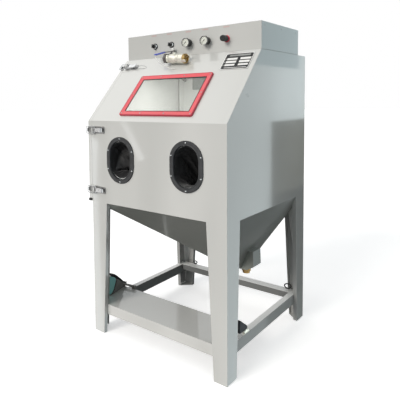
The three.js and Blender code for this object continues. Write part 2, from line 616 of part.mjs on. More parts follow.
// ---------------------------------------------------------------- inside the chamber
function buildInterior() {
  const inset = SHEET + GAP;
  const z = CHAMBER_BOTTOM + 6;
  let grate = box(inset + 1, WIDTH - inset - 1, 20, DEPTH - inset - 1, z, z + 4);
  const rows = 3;
  const columns = 14;
  const pitchX = (WIDTH - 60) / columns;
  const pitchY = (DEPTH - 80) / rows;
  for (let i = 0; i < columns; i += 1) {
    for (let j = 0; j < rows; j += 1) {
      const x0 = 30 + i * pitchX + 10;
      const y0 = 50 + j * pitchY + 10;
      grate = cut(grate, box(x0, x0 + pitchX - 20, y0, y0 + pitchY - 20, z - 5, z + 10));
    }
  }
  piece('work_grate', grate, steel);

  const gun = vec(790, 560, z + 4 + GAP);
  const muzzle = rod(vec(gun.x, gun.y, gun.z + 18), vec(gun.x - 150, gun.y - 60, gun.z + 18), 17, 12, 13);
  const grip = vec(gun.x + 30, gun.y + 90, gun.z + 18);
  const handle = rod(vec(gun.x - 20, gun.y - 8, gun.z + 18), grip, 15, 10);
  const foot = box(gun.x - 60, gun.x + 10, gun.y - 26, gun.y + 6, gun.z, gun.z + 14);
  piece('blast_gun', join(muzzle, handle, foot), steel);
}

// ---------------------------------------------------------------- foot valve stowed on the shelf
// Built along its own length: y runs from toe to heel, x = 0 is the near cheek's outer face and
// z = 0 the top of the shelf. It is bolted down by its heel bar and overhangs the shelf's open end.
const FOOT_VALVE = { x: 8, y: 138, yaw: 0.183, width: 54, pivotY: 156, pivotZ: 20 };

function buildFootValve() {
  const local = new THREE.Group();
  local.position.set(FOOT_VALVE.x, FOOT_VALVE.y, RAIL_TOP + GAP);
  local.rotation.z = FOOT_VALVE.yaw;
  cabinet.add(local);
  const { width, pivotY, pivotZ } = FOOT_VALVE;
  const pivot = (x) => vec(x, pivotY, pivotZ);

  const sole = box(-width, 0, -22, pivotY + 8, 0, 3);
  const cheekOutline = [[4, 2], [pivotY + 8, 2], [pivotY + 8, pivotZ + 5], [pivotY - 14, pivotZ],
    [66, 75], [56, 74], [26, 24]];
  const cheeks = [-4, -width].map((x) => inSide(orient(cheekOutline), x, 4));
  const heelBar = box(-width, 86, 126, 144, 14, 20);
  const heelPad = box(62, 80, 128, 142, 0, 20);
  const shroud = inSide(orient([[50, 0], [124, 0], [124, 26], [60, 70]]), -width + 1, width - 2);
  const pin = rod(pivot(-width + 1), pivot(-1), 2.5, 10);
  piece('foot_valve_base', join(sole, heelBar, heelPad, shroud, ...cheeks, pin), greyPlastic, local);

  const nose = [[-18, 3 + GAP], [2, 3 + GAP], [25, 27], [49, 76], [38, 79], [-16, 98], [-24, 90],
    [-24, 20]];
  piece('foot_valve_block', inSide(orient(nose), -width + 4, width - 6), teal, local);

  const t = 3;
  const upper = [[-24, 136], [26, 119], [44, 106], [112, 51], [112, 51 - t], [44, 106 - t - 1],
    [26, 119 - t], [-24, 136 - t]];
  const tongue = [[110, 52.6], [142, 28], [pivotY + 4, 25], [pivotY + 5, 15], [pivotY - 5, 15],
    [pivotY - 5, 23.5], [141, 24.5], [110, 48]];
  const plates = join(inSide(orient(upper), -width - 8, width + 14),
    inSide(orient(tongue), -width + 7, width - 14));
  const pinHole = rod(pivot(-90), pivot(40), 2.5 + GAP, 10);
  piece('foot_valve_treadle', cut(plates, pinHole), blackPlastic, local);
}

buildFront();
buildSides();
buildRearAndTop();
buildHopper();
buildHeader();
buildUnderframe();
buildWindow();
buildGlovePorts();
buildControls();
buildInletValve();
buildDoor();
buildLatches();
buildInterior();
buildFootValve();
cabinet.position.set(-CENTRE.x, -CENTRE.y, 0);

export default cabinet;
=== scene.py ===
# Looks for the sandblast cabinet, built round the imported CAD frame. Metres, +Z up, -Y to the front.
import json
import math
import bmesh
import bpy
from mathutils import Matrix, Vector, noise


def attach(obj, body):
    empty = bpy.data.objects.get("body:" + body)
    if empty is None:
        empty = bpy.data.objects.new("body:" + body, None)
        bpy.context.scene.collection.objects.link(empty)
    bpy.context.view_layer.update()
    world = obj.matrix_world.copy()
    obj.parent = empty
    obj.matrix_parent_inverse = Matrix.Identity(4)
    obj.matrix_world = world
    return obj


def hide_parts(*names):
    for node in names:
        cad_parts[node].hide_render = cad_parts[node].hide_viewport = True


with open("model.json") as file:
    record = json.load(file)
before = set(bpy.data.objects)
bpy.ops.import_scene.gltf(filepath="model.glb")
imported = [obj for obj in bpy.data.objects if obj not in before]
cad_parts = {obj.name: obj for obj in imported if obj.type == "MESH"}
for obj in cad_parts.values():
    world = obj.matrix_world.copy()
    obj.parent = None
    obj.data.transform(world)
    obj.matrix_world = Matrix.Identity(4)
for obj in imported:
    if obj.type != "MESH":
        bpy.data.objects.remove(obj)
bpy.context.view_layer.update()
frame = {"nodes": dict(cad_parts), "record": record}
NODES = frame["nodes"]
ROOT = "cabinet"


# --- places, in cabinet millimetres
# x from the left side sheet, y from the front sheet, z from the floor.
ORIGIN = Vector((412.5, 474.5, 0.0))
X, Y, Z = Vector((1, 0, 0)), Vector((0, 1, 0)), Vector((0, 0, 1))
WIDTH, DEPTH = 900, 920
CHAMBER = ((-30, 898), (2, 918), (777, 1610))
FOLD = 1246.0          # height of the bend between the upright front and the slope
SLOPE_UP = Vector((0.0, 342.0, 366.0)).normalized()
SLOPE_OUT = X.cross(SLOPE_UP)
HEADER_FRONT = 341.7
CONTROL_Z = 1681.0     # height of the row of controls
PORT_Z = 1031


def at(x, y, z):
    return (Vector((x, y, z)) - ORIGIN) / 1000.0


def on_slope(x, s, h):
    return at(x, s * SLOPE_UP.y + h * SLOPE_OUT.y, FOLD + s * SLOPE_UP.z + h * SLOPE_OUT.z)


def plane(origin, across, up):
    """Places millimetre shapes on a face: x runs across, y up and z out of it, from a point in metres."""
    out = across.cross(up)
    rows = [[across[i], up[i], out[i], origin[i]] for i in range(3)] + [[0, 0, 0, 1]]
    return Matrix(rows) @ Matrix.Scale(0.001, 4)


# --- camera and light
# How bright the surroundings are, as (direction from -1 to 1, brightness): for soft light, then in mirrors.
SPREAD = ((-0.7, 0.01), (0.0, 0.05), (0.45, 0.55), (0.9, 0.70))
MIRROR = ((-0.6, 0.02), (-0.46, 0.04), (-0.38, 0.5), (0.3, 0.7))


def add_object(name, data):
    item = bpy.data.objects.new(name, data)
    bpy.context.scene.collection.objects.link(item)
    return item


def build_camera():
    camera = bpy.data.cameras.new("camera")
    camera.lens = 41.2
    camera.sensor_width = 36.0
    camera.shift_x = 0.1195
    camera.shift_y = -0.171
    seat = add_object("camera", camera)
    yaw, pitch, roll = math.radians(39.73), math.radians(3.78), math.radians(-0.72)
    forward = Vector((-math.sin(yaw) * math.cos(pitch), math.cos(yaw) * math.cos(pitch), -math.sin(pitch)))
    level = Vector((math.cos(yaw), math.sin(yaw), 0))
    upright = level.cross(forward)
    right = math.cos(roll) * level + math.sin(roll) * upright
    up = -math.sin(roll) * level + math.cos(roll) * upright
    place = at(1966, -1814, 1353)
    rows = [[right[i], up[i], -forward[i], place[i]] for i in range(3)] + [[0, 0, 0, 1]]
    seat.matrix_world = Matrix(rows)
    bpy.context.scene.camera = seat


def add_lamp(name, kind, power, colour, shines):
    """A light of a kind; shines is the direction that its light goes."""
    light = bpy.data.lights.new(name, kind)
    light.energy = power
    light.color = colour
    lamp = add_object(name, light)
    lamp.rotation_euler = Vector(shines).to_track_quat("-Z", "Y").to_euler()
    return lamp


def background(nodes, links, facing, stops):
    """Light whose brightness changes with a value that runs from -1 to 1."""
    ramp = nodes.new("ShaderNodeValToRGB")
    while len(ramp.color_ramp.elements) < len(stops):
        ramp.color_ramp.elements.new(0.5)
    for stop, (level, bright) in zip(ramp.color_ramp.elements, stops):
        stop.position = (level + 1) / 2
        stop.color = (bright * 0.97, bright, bright * 1.01, 1)
    shift = nodes.new("ShaderNodeMapRange")
    shift.inputs["From Min"].default_value = -1.0
    links.new(facing, shift.inputs["Value"])
    links.new(shift.outputs["Result"], ramp.inputs[0])
    glow = nodes.new("ShaderNodeBackground")
    links.new(ramp.outputs[0], glow.inputs[0])
    return glow.outputs[0]


def build_world():
    """White behind everything; the light itself comes from above and in front, and is dim from below."""
    world = bpy.data.worlds.new("studio")
    bpy.context.scene.world = world
    world.use_nodes = True
    nodes, links = world.node_tree.nodes, world.node_tree.links
    nodes.clear()
    direction = nodes.new("ShaderNodeTexCoord").outputs["Generated"]

    def facing(axis):
        dot = nodes.new("ShaderNodeVectorMath")
        dot.operation = "DOT_PRODUCT"
        links.new(direction, dot.inputs[0])
        dot.inputs[1].default_value = axis
        return dot.outputs["Value"]

    def mix(choice, first, second):
        node = nodes.new("ShaderNodeMixShader")
        links.new(choice, node.inputs[0])
        links.new(first, node.inputs[1])
        links.new(second, node.inputs[2])
        return node.outputs[0]

    seen = nodes.new("ShaderNodeBackground")
    seen.inputs[0].default_value = (1, 1, 1, 1)
    spread = background(nodes, links, facing(Vector((-0.25, -0.55, 0.80))), SPREAD)
    mirror = background(nodes, links, facing(Z), MIRROR)
    path = nodes.new("ShaderNodeLightPath").outputs
    light = mix(path["Is Camera Ray"], mix(path["Is Glossy Ray"], spread, mirror), seen.outputs[0])
    links.new(light, nodes.new("ShaderNodeOutputWorld").inputs[0])


def build_lights():
    build_world()
    key = add_lamp("key", "SUN", 1.85, (1, 0.955, 0.90), (0.16, 0.88, -0.45))
    key.data.angle = math.radians(24)
    lamp = add_lamp("chamber_lamp", "AREA", 4.6, (1, 1, 1), (0, -0.1, -1.0))
    lamp.location = at(450, 480, 1556)
    lamp.data.shape = "RECTANGLE"
    lamp.data.size, lamp.data.size_y = 0.36, 0.07
    bpy.context.scene.view_settings.view_transform = "Standard"
    bpy.context.scene.view_settings.look = "None"


def card(name, corners, colour, light, fade=None, streaks=None):
    """A flat piece of the studio that only reflections see.

    fade: (axis, from, to, low) dims it to low of its light between two places in metres;
    streaks: (scales along x, y and z, low) breaks it up into soft lighter and darker bands."""
    shape = bmesh.new()
    shape.faces.new([shape.verts.new(at(*c)) for c in corners])
    mesh = as_mesh(name, shape)
    s = Shader(name)
    strength = light
    if fade:
        axis, start, end, low = fade
        along = s.add("SeparateXYZ", Vector=s.place).outputs[axis]
        strength = s.times(strength, s.ramp(along, start, end, low, 1.0, "SMOOTHSTEP"))
    if streaks:
        scales, low = streaks
        strength = s.times(strength, s.ramp(s.noise(1.0, 2, 0.5, scales), 0.35, 0.65, low, 1.0))
    glow = s.add("Emission", Color=colour, Strength=strength)
    s.links.new(glow.outputs[0], s.out.inputs[0])
    mesh.materials.append(s.material)
    board = add_object(name, mesh)
    board.visible_camera = board.visible_diffuse = board.visible_shadow = False
    board.visible_transmission = False


def side_board(x, y0, y1, z0, z1):
    """The corners of an upright rectangle to the right of the cabinet."""
    return [(x, y0, z0), (x, y1, z0), (x, y1, z1), (x, y0, z1)]


def build_cards():
    """What the glossy panels mirror: a pale wall with a dark doorway on the right, and softer shades."""
    card("dark_card", side_board(2400, 3655, 8000, -2300, 1075), (0.26, 0.26, 0.21), 1.0,
         streaks=((0.6, 0.6, 0.5), 0.3))
    card("low_card", side_board(2395, 3655, 8000, -2300, 100), (0.03, 0.035, 0.03), 1.0)
    card("sky_card", [(2405, 3200, 1780), (2405, 4560, 1780), (2405, 4700, 2900), (2405, 3200, 2900)],
         (0.78, 1.0, 1.06), 1.0)
    card("bright_card", side_board(2450, -1500, 9000, -3500, 7000), (0.90, 1.0, 1.01), 1.85,
         streaks=((0.8, 0.8, 0.25), 0.8))
    card("front_card", [(-6000, -2500, -2600), (3000, -2500, -2600), (3000, -2500, 4200),
                        (-6000, -2500, 4200)], (1.0, 0.97, 0.94), 1.4, fade=(2, 2.4, 0.9, 0.25),
         streaks=((1.6, 1.0, 0.35), 0.25))
    card("diagonal_card", [(-2140, -2480, 1120), (-2060, -2480, 1130), (-1730, -2480, 640),
                           (-1830, -2480, 600)], (1.0, 1.0, 1.0), 2.3)
    card("left_card", [(-2740, -2480, 900), (-2560, -2480, 820), (-2600, -2480, 240), (-2520, -2480, -1900),
                       (-2760, -2480, -1900)], (0.96, 1.0, 1.03), 2.5)
    card("upper_card", [(-5000, -3500, 4300), (2500, -3500, 4300), (2500, 2500, 4300), (-5000, 2500, 4300)],
         (1.0, 1.0, 0.99), 1.3, fade=(0, 0.9, -2.4, 0.1))


# --- procedural materials
class Shader:
    """A node material on object coordinates, with short helpers for its patterns."""

    def __init__(self, name):
        self.material = bpy.data.materials.new(name)
        self.material.use_nodes = True
        tree = self.material.node_tree
        self.nodes, self.links = tree.nodes, tree.links
        self.nodes.clear()
        self.out = self.nodes.new("ShaderNodeOutputMaterial")
        self.main = self.nodes.new("ShaderNodeBsdfPrincipled")
        self.links.new(self.main.outputs[0], self.out.inputs[0])
        self.place = self.nodes.new("ShaderNodeTexCoord").outputs["Object"]

    def feed(self, socket, value):
        """Gives a socket a number or a colour, or links a node's output to it."""
        if isinstance(value, (int, float)):
            socket.default_value = value
        elif isinstance(value, tuple):
            socket.default_value = (*value, 1.0)
        else:
            self.links.new(value, socket)

    def add(self, kind, **values):
        node = self.nodes.new("ShaderNode" + kind)
        self.fill(node, values)
        return node

    def fill(self, node, values):
        for key, value in values.items():
            self.feed(node.inputs[key.replace("_", " ")], value)

    def set(self, **values):
        self.fill(self.main, values)

    def stretched(self, stretch):
        if stretch is None:
            return self.place
        node = self.add("Mapping", Vector=self.place)
        node.inputs["Scale"].default_value = stretch
        return node.outputs["Vector"]

    def noise(self, scale, detail, rough=0.5, stretch=None):
        place = self.stretched(stretch)
        node = self.add("TexNoise", Scale=scale, Detail=detail, Roughness=rough, Vector=place)
        return node.outputs["Fac"]

    def waves(self, scale, axis):
        node = self.add("TexWave", Scale=scale, Vector=self.place)
        node.bands_direction = axis
        return node.outputs["Fac"]

    def ramp(self, value, low, high, a, b, curve="LINEAR"):
        """Runs from a to b as the value goes from low to high, and stays there outside."""
        node = self.add("MapRange", Value=value)
        node.interpolation_type = curve
        for key, number in (("From Min", low), ("From Max", high), ("To Min", a), ("To Max", b)):
            node.inputs[key].default_value = number
        return node.outputs["Result"]

    def blend(self, factor, a, b):
        node = self.nodes.new("ShaderNodeMix")
        node.data_type = "RGBA"
        for socket, value in ((0, factor), (6, a), (7, b)):
            self.feed(node.inputs[socket], value)
        return node.outputs[2]

    def times(self, a, b, operation="MULTIPLY"):
        node = self.nodes.new("ShaderNodeMath")
        node.operation = operation
        self.feed(node.inputs[0], a)
        self.feed(node.inputs[1], b)
        return node.outputs[0]

    def bump(self, *layers):
        """Bumps, each (height, strength, distance), one on top of another."""
        under = {}
        for height, strength, distance in layers:
            node = self.add("Bump", Height=height, Strength=strength, Distance=distance, **under)
            under = {"Normal": node.outputs["Normal"]}
        self.set(**under)


def gloss_paint(name, colour, rough, shade, peel, coat, sheen=1.5, mirror=0.5):
    """Sprayed gloss paint: slow tone drift, dust specks, faint orange peel, handling marks in the sheen."""
    s = Shader(name)
    drift = s.ramp(s.noise(1.6, 2), 0.3, 0.7, 0, 1)
    dark = tuple(c * shade for c in colour)
    specks = s.ramp(s.noise(210, 2, 0.5), 0.74, 0.84, 0, 0.22)
    tone = s.blend(specks, s.blend(drift, dark, colour), tuple(c * 0.72 for c in colour))
    marks = s.noise(5, 3, 0.5, (1, 1, 2.5))
    s.set(Base_Color=tone, Roughness=s.ramp(marks, 0.2, 0.8, rough - 0.03, rough + 0.04))
    s.set(Coat_Weight=coat, Coat_Roughness=s.ramp(marks, 0.2, 0.8, 0.05, 0.08), Coat_IOR=sheen)
    s.set(Specular_IOR_Level=mirror)
    s.bump((s.noise(650, 1), peel, 0.0002), (s.noise(2.6, 1), 0.05, 0.004))
    return s.material


def metal(name, colour, rough, brushed, grime, bump):
    """Bare or plated metal with grain and tarnish."""
    s = Shader(name)
    tarnish = s.ramp(s.noise(45, 5, 0.65), 0.42, 0.75, 0, grime)
    tone = s.blend(tarnish, colour, tuple(c * 0.45 for c in colour))
    grain = s.noise(160, 3, 0.6, brushed)
    s.set(Base_Color=tone, Metallic=1.0, Roughness=s.ramp(grain, 0.25, 0.8, rough * 0.75, rough * 1.5))
    s.bump((grain, bump, 0.0003))
    return s.material


def plastic(name, colour, rough, speck=1.35, bump=0.25, scale=900, coat=0.0):
    s = Shader(name)
    mottle = s.ramp(s.noise(30, 4), 0.35, 0.75, 0, 0.6)
    tone = s.blend(mottle, colour, tuple(min(1.0, c * speck + 0.004) for c in colour))
    s.set(Base_Color=tone, Roughness=s.ramp(s.noise(70, 3), 0.3, 0.7, rough - 0.08, rough + 0.1))
    s.set(Coat_Weight=coat, Coat_Roughness=0.2)
    s.bump((s.noise(scale, 2), bump, 0.0003))
    return s.material


def glove_cloth(name):
    """Rubberised cotton: a fine weave under a slightly sheeny black skin."""
    s = Shader(name)
    weave = s.times(s.waves(520, "DIAGONAL"), s.waves(470, "Z"), "ADD")
    dust = s.ramp(s.noise(24, 5, 0.7), 0.5, 0.8, 0, 0.5)
    s.set(Base_Color=s.blend(dust, (0.006, 0.0065, 0.0075), (0.026, 0.028, 0.030)))
    s.set(Roughness=s.ramp(s.noise(60, 3), 0.3, 0.7, 0.4, 0.58), Sheen_Weight=0.3, Sheen_Roughness=0.45)
    s.bump((weave, 0.15, 0.0004), (s.noise(38, 4), 0.3, 0.003))
    return s.material


def clear_glass(name, low, high):
    """Thin clear sheet with wiping smears: light goes straight through, under a little gloss and haze."""
    s = Shader(name)
    smear = s.ramp(s.noise(5, 4, 0.6, (1, 1, 2)), 0.4, 0.8, 0.02, 0.14)
    s.set(Base_Color=(0.93, 0.93, 0.90), Roughness=smear)
    see = s.add("BsdfTransparent", Color=(0.97, 0.975, 0.955))
    haze = s.nodes.new("ShaderNodeMixShader")
    s.links.new(s.ramp(s.noise(3, 4, 0.6), 0.35, 0.8, low, high), haze.inputs[0])
    s.links.new(see.outputs[0], haze.inputs[1])
    s.links.new(s.main.outputs[0], haze.inputs[2])
    s.links.new(haze.outputs[0], s.out.inputs[0])
    return s.material


def floor_material(name):
    s = Shader(name)
    s.set(Base_Color=s.blend(s.ramp(s.noise(2.5, 4), 0.3, 0.7, 0, 1), (0.9, 0.9, 0.9), (0.93, 0.93, 0.93)))
    s.set(Roughness=0.75, Specular_IOR_Level=0.2)
    s.set(Emission_Color=(1.0, 1.0, 1.0), Emission_Strength=0.5)
    s.bump((s.noise(90, 3), 0.08, 0.0006))
    return s.material


# Every finish, by the name that the pieces ask for.
M = {
    "paint": gloss_paint("grey_paint", (0.60, 0.605, 0.585), 0.3, 0.96, 0.05, 1.0, 1.7),
    # frame: the grey paint made darker and duller, as painted shade for the inward faces under the chamber
    "frame": gloss_paint("under_shade_paint", (0.42, 0.425, 0.415), 0.5, 0.9, 0.1, 0.0, 1.5, 0.12),
    # shelf: a lighter copy of the grey paint, painted light on the foot shelf
    "shelf": gloss_paint("shelf_lit_paint", (0.66, 0.66, 0.64), 0.34, 0.94, 0.05, 1.0, 1.7, 0.22),
    # The rail paints are copies of the grey paint with light and shade painted in: the first darker for the
    # shaded sides, the next near white as painted light on the tops, the last darker still as painted shade
    # on the inward sides
    "rail": gloss_paint("rail_paint", (0.43, 0.435, 0.425), 0.4, 0.9, 0.1, 0.3, 1.5, 0.4),
    "rail_lit_top": gloss_paint("rail_lit_top_paint", (0.95, 0.95, 0.93), 0.3, 0.95, 0.1, 0.3, 1.5, 0.8),
    "rail_shade": gloss_paint("rail_shade_paint", (0.22, 0.225, 0.22), 0.5, 0.9, 0.1, 0.0, 1.5, 0.12),
    # hopper and pickup: darker copies of the grey paint, painted shade for the parts in shadow under the
    # chamber
    "hopper": gloss_paint("hopper_shade_paint", (0.37, 0.38, 0.355), 0.36, 0.9, 0.05, 0.6, 1.5),
    "pickup": gloss_paint("pickup_shade_paint", (0.20, 0.215, 0.195), 0.42, 0.9, 0.05, 0.5, 1.5, 0.2),
    "inner": gloss_paint("inner_paint", (0.78, 0.79, 0.775), 0.5, 0.93, 0.2, 0.1),
    "red": gloss_paint("red_paint", (0.80, 0.062, 0.085), 0.34, 0.88, 0.1, 0.5),
    # The window frame's outer rim takes a darker copy of the red paint: painted shade
    "red_edge": gloss_paint("red_rim_shade_paint", (0.52, 0.010, 0.040), 0.34, 0.88, 0.1, 0.4),
    "teal": gloss_paint("teal_paint", (0.24, 0.64, 0.62), 0.45, 0.8, 0.4, 0.15),
    "label": gloss_paint("label_ink", (0.60, 0.46, 0.44), 0.4, 0.9, 0.1, 0.0),
    "white": gloss_paint("white_enamel", (0.84, 0.84, 0.82), 0.4, 0.93, 0.1, 0.1),
    "band": gloss_paint("grey_band", (0.30, 0.31, 0.30), 0.4, 0.9, 0.1, 0.1),
    "chrome": metal("chrome", (0.74, 0.75, 0.76), 0.16, None, 0.5, 0.05),
    "steel": metal("steel", (0.40, 0.40, 0.40), 0.34, (1, 1, 6), 0.6, 0.2),
    "nickel": metal("cast_nickel", (0.80, 0.79, 0.71), 0.45, None, 0.6, 0.6),
    "dark_steel": metal("dark_steel", (0.16, 0.155, 0.15), 0.4, None, 0.6, 0.3),
    "brass": metal("brass", (0.50, 0.35, 0.15), 0.36, (6, 1, 1), 0.8, 0.2),
    "plug": metal("dull_brass", (0.34, 0.22, 0.09), 0.42, (6, 1, 1), 0.8, 0.2),
    "black": plastic("black_plastic", (0.010, 0.011, 0.012), 0.34),
    "ring": plastic("ring_rubber", (0.024, 0.0255, 0.028), 0.55, 2.2, 0.7, 260),
    "rubber": plastic("soft_rubber", (0.014, 0.015, 0.016), 0.6, 1.6, 0.4, 400),
    "seal": plastic("grey_seal", (0.40, 0.40, 0.38), 0.6, 1.15, 0.3, 400),
    "baffle": gloss_paint("baffle_paint", (0.15, 0.185, 0.175), 0.5, 0.85, 0.2, 0.1),
    # cheek: dark grey-brown that stands in for the foot valve casting's sides in shade; painted shade
    "cheek": plastic("shaded_casting", (0.105, 0.10, 0.092), 0.55, 1.5, 0.6, 300),
    "pedal": plastic("pedal_rubber", (0.005, 0.006, 0.009), 0.75, 1.5, 0.4, 300),
    "blue": plastic("blue_vinyl", (0.08, 0.12, 0.60), 0.33, 1.2, 0.15, 500, 0.2),
    "crimson": plastic("red_plastic", (0.62, 0.02, 0.06), 0.32, 1.2, 0.15, 600, 0.2),
    "dial": plastic("dial_card", (0.86, 0.86, 0.85), 0.5, 0.97, 0.05),
    "cloth": glove_cloth("glove_cloth"),
    "glass": clear_glass("clear_glass", 0.10, 0.2),
    "lens": clear_glass("gauge_lens", 0.02, 0.06),
    "floor": floor_material("pale_floor"),
}


# --- mesh helpers
def as_mesh(name, shape):
    mesh = bpy.data.meshes.new(name)
    shape.to_mesh(mesh)
    shape.free()
    return mesh


def finish_piece(name, shape, material, stands_for=None, body=ROOT, smooth=32.0):
    """Makes a shape a piece of the visual model, smooth except across edges sharper than an angle."""
    bmesh.ops.recalc_face_normals(shape, faces=shape.faces)
    for face in shape.faces:
        face.smooth = True
    for edge in shape.edges:
        if len(edge.link_faces) == 2:
            edge.smooth = edge.calc_face_angle(0.0) < math.radians(smooth)
    mesh = as_mesh(name, shape)
    for key in material if isinstance(material, tuple) else (material,):
        mesh.materials.append(M[key])
    piece = add_object(name, mesh)
    even = piece.modifiers.new("even_normals", "WEIGHTED_NORMAL")
    even.keep_sharp = True
    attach(piece, body)
    if stands_for:
        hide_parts(stands_for)
    return piece


def body_of_node(node):
    return next(b for b, members in frame["record"]["behaviour"]["bodies"].items() if node in members)


def in_chamber(point, normal):
    """True for a face that looks into the work chamber."""
    p = (point + normal * 0.004) * 1000.0 + ORIGIN
    below_slope = (p - Vector((0, 0, FOLD))).dot(SLOPE_OUT) < -1.5
    return below_slope and all(low < level < high for level, (low, high) in zip(p, CHAMBER))


def sheet_paint(face):
    """Which of paint, inner or frame a cabinet face takes: frame is a darker, duller copy of the grey
    paint, painted shade on the faces that look in under the chamber.
    """
    place = face.calc_center_median()
    middle = at(450, 460, 0)
    aside = Vector((place.x - middle.x, place.y - middle.y, 0))
    if place.z < 0.774 and place.y > -0.40 and aside.dot(face.normal) < -0.02:
        return 2
    return int(in_chamber(place, face.normal))


def rail_paint(face):
    """Which of the rail's three paints a face takes: a near-white copy on the tops is painted light, a much
    darker copy on the inward sides is painted shade, and the other faces take a darker copy of the grey
    paint as painted shade.
    """
    place = face.calc_center_median()
    inward = Vector((place.x, place.y, 0)).dot(face.normal) < -0.02
    return 1 if face.normal.z > 0.7 else 2 * int(inward)


MIXED = {"paint": (("paint", "inner", "frame"), sheet_paint),
         "rail": (("rail", "rail_lit_top", "rail_shade"), rail_paint)}


def dress(node, material, width, segments=2):
    """A CAD solid's shape with its edges rounded over a width in millimetres, standing for that node."""
    shape = bmesh.new()
    shape.from_mesh(NODES[node].data)
    bmesh.ops.remove_doubles(shape, verts=shape.verts, dist=2e-5)
    bmesh.ops.dissolve_limit(shape, angle_limit=math.radians(1.0), verts=shape.verts, edges=shape.edges)
    limit = math.radians(30)
    sharp = [e for e in shape.edges if len(e.link_faces) == 2 and e.calc_face_angle(0) > limit]
    bmesh.ops.bevel(shape, geom=sharp, offset=width / 1000.0, segments=segments, profile=0.5,
                    affect="EDGES", clamp_overlap=True, loop_slide=True)
    bmesh.ops.triangulate(shape, faces=[f for f in shape.faces if len(f.verts) > 4])
    if material in MIXED:
        material, choose = MIXED[material]
        for face in shape.faces:
            face.material_index = choose(face)
    return finish_piece("v_" + node, shape, material, node, body_of_node(node))


def circle(radius, count, height=0.0):
    turns = [2 * math.pi * i / count for i in range(count)]
    return [Vector((radius * math.cos(a), radius * math.sin(a), height)) for a in turns]


def polygon(radius, count):
    """The corners of a regular polygon, as an outline."""
    return [(v.x, v.y) for v in circle(radius, count)]


def soften_path(points, radius, steps=5, share=0.48):
    """Rounds the corners of an open line, and takes at most a share of each run for it."""
    points = [Vector(p) for p in points]
    out = [points[0]]
    for before, here, after in zip(points, points[1:], points[2:]):
        back, on = before - here, after - here
        reach = min(radius, back.length * share, on.length * share)
        start, end = here + back.normalized() * reach, here + on.normalized() * reach
        out += [start * (1 - t) ** 2 + here * 2 * t * (1 - t) + end * t ** 2
                for t in (i / steps for i in range(steps + 1))]
    return out + [points[-1]]


def soften_line(points, radius, steps=3):
    return soften_path(points, radius, steps, 0.45)


def soften_loop(points, radius, steps=3):
    return soften_line([points[-1]] + list(points) + [points[0]], radius, steps)[1:-1]


def skin(shape, rings, place, loop=False, caps=True):
    """A surface through rings of equal length. loop joins the last to the first; caps fill both ends."""
    rows = [[shape.verts.new(place @ v) for v in ring] for ring in rings]
    count = len(rows[0])
    pairs = list(zip(rows, rows[1:])) + ([(rows[-1], rows[0])] if loop else [])
    for low, high in pairs:
        for i in range(count):
            j = (i + 1) % count
            shape.faces.new((low[i], low[j], high[j], high[i]))
    if caps and not loop:
        shape.faces.new(rows[0][::-1])
        shape.faces.new(rows[-1])


def lathe(shape, profile, place, count, soft, ribs=0, depth=0.0):
    """Turns (radius, height) points round local Z. ribs and depth flute the side."""
    line = soften_line(profile, soft)
    rings = []
    for radius, height in line:
        ring = circle(max(radius, 0.02), count, height)
        if ribs and radius > 1:
            flutes = [abs(math.sin(ribs * math.atan2(v.y, v.x) / 2)) ** 3 for v in ring]
            ring = [Vector((v.x, v.y, 0)) * (1 - depth * flute) + Vector((0, 0, height))
                    for v, flute in zip(ring, flutes)]
        rings.append(ring)
    skin(shape, rings, place)


def slab(shape, outline, low, high, place, soft):
    """A plate of a given outline between two heights, its rims rounded over."""
    centre = sum((Vector(p) for p in outline), Vector((0, 0))) / len(outline)
    count = len(outline)
    normals = []
    for i in range(count):
        run = Vector(outline[(i + 1) % count]) - Vector(outline[i - 1])
        normals.append(Vector((run.y, -run.x)).normalized())
    if sum((Vector(p) - centre).dot(n) for p, n in zip(outline, normals)) < 0:
        normals = [-n for n in normals]
    soft = min(soft, (high - low) / 2)
    levels = [(soft, low), (soft * 0.3, low + soft * 0.3), (0, low + soft)]
    levels += [(0, high - soft), (soft * 0.3, high - soft * 0.3), (soft, high)]
    rings = [[Vector((p[0] - n.x * inset, p[1] - n.y * inset, h)) for p, n in zip(outline, normals)]
             for inset, h in levels]
    skin(shape, rings, place)


def side_slab(shape, outline, v0, v1, place, soft):
    """A slab whose outline lies in local (x, z) and whose thickness runs along local y."""
    turn = Matrix(((1, 0, 0, 0), (0, 0, -1, 0), (0, 1, 0, 0), (0, 0, 0, 1)))
    slab(shape, outline, -v1, -v0, place @ turn, soft)


def rectangle(x0, x1, y0, y1):
    return [(x0, y0), (x1, y0), (x1, y1), (x0, y1)]


def round_box(width, height, radius, steps, x=0.0, y=0.0):
    points = []
    for corner, (sx, sy) in enumerate(((1, 1), (-1, 1), (-1, -1), (1, -1))):
        for i in range(steps + 1):
            a = math.pi / 2 * (corner + i / steps)
            points.append((x + sx * (width / 2 - radius) + radius * math.cos(a),
                           y + sy * (height / 2 - radius) + radius * math.sin(a)))
    return points


def tube(shape, points, radius, place, count, soft=0.0):
    """A round bar along a line of 3-D points."""
    line = soften_path(points, soft) if soft else [Vector(p) for p in points]
    rings = []
    side = None
    for i, here in enumerate(line):
        before = line[i - 1] if i else here
        after = line[i + 1] if i + 1 < len(line) else here
        along = (after - before).normalized()
        if side is None:
            side = along.cross(Vector((0.3, 0.2, 0.93))).normalized()
        side = (side - along * side.dot(along)).normalized()
        other = along.cross(side)
        rings.append([here + (side * math.cos(a) + other * math.sin(a)) * radius
                      for a in (2 * math.pi * k / count for k in range(count))])
    skin(shape, rings, place)


def band(shape, outline, section, place):
    """Sweeps a closed section of (inward, height) points round a closed outline."""
    count = len(outline)
    rings = []
    for i in range(count):
        run = Vector(outline[(i + 1) % count]) - Vector(outline[i - 1])
        inward = Vector((-run.y, run.x)).normalized()
        rings.append([Vector((outline[i][0] + inward.x * n, outline[i][1] + inward.y * n, h))
                      for n, h in section])
    skin(shape, rings, place, loop=True)


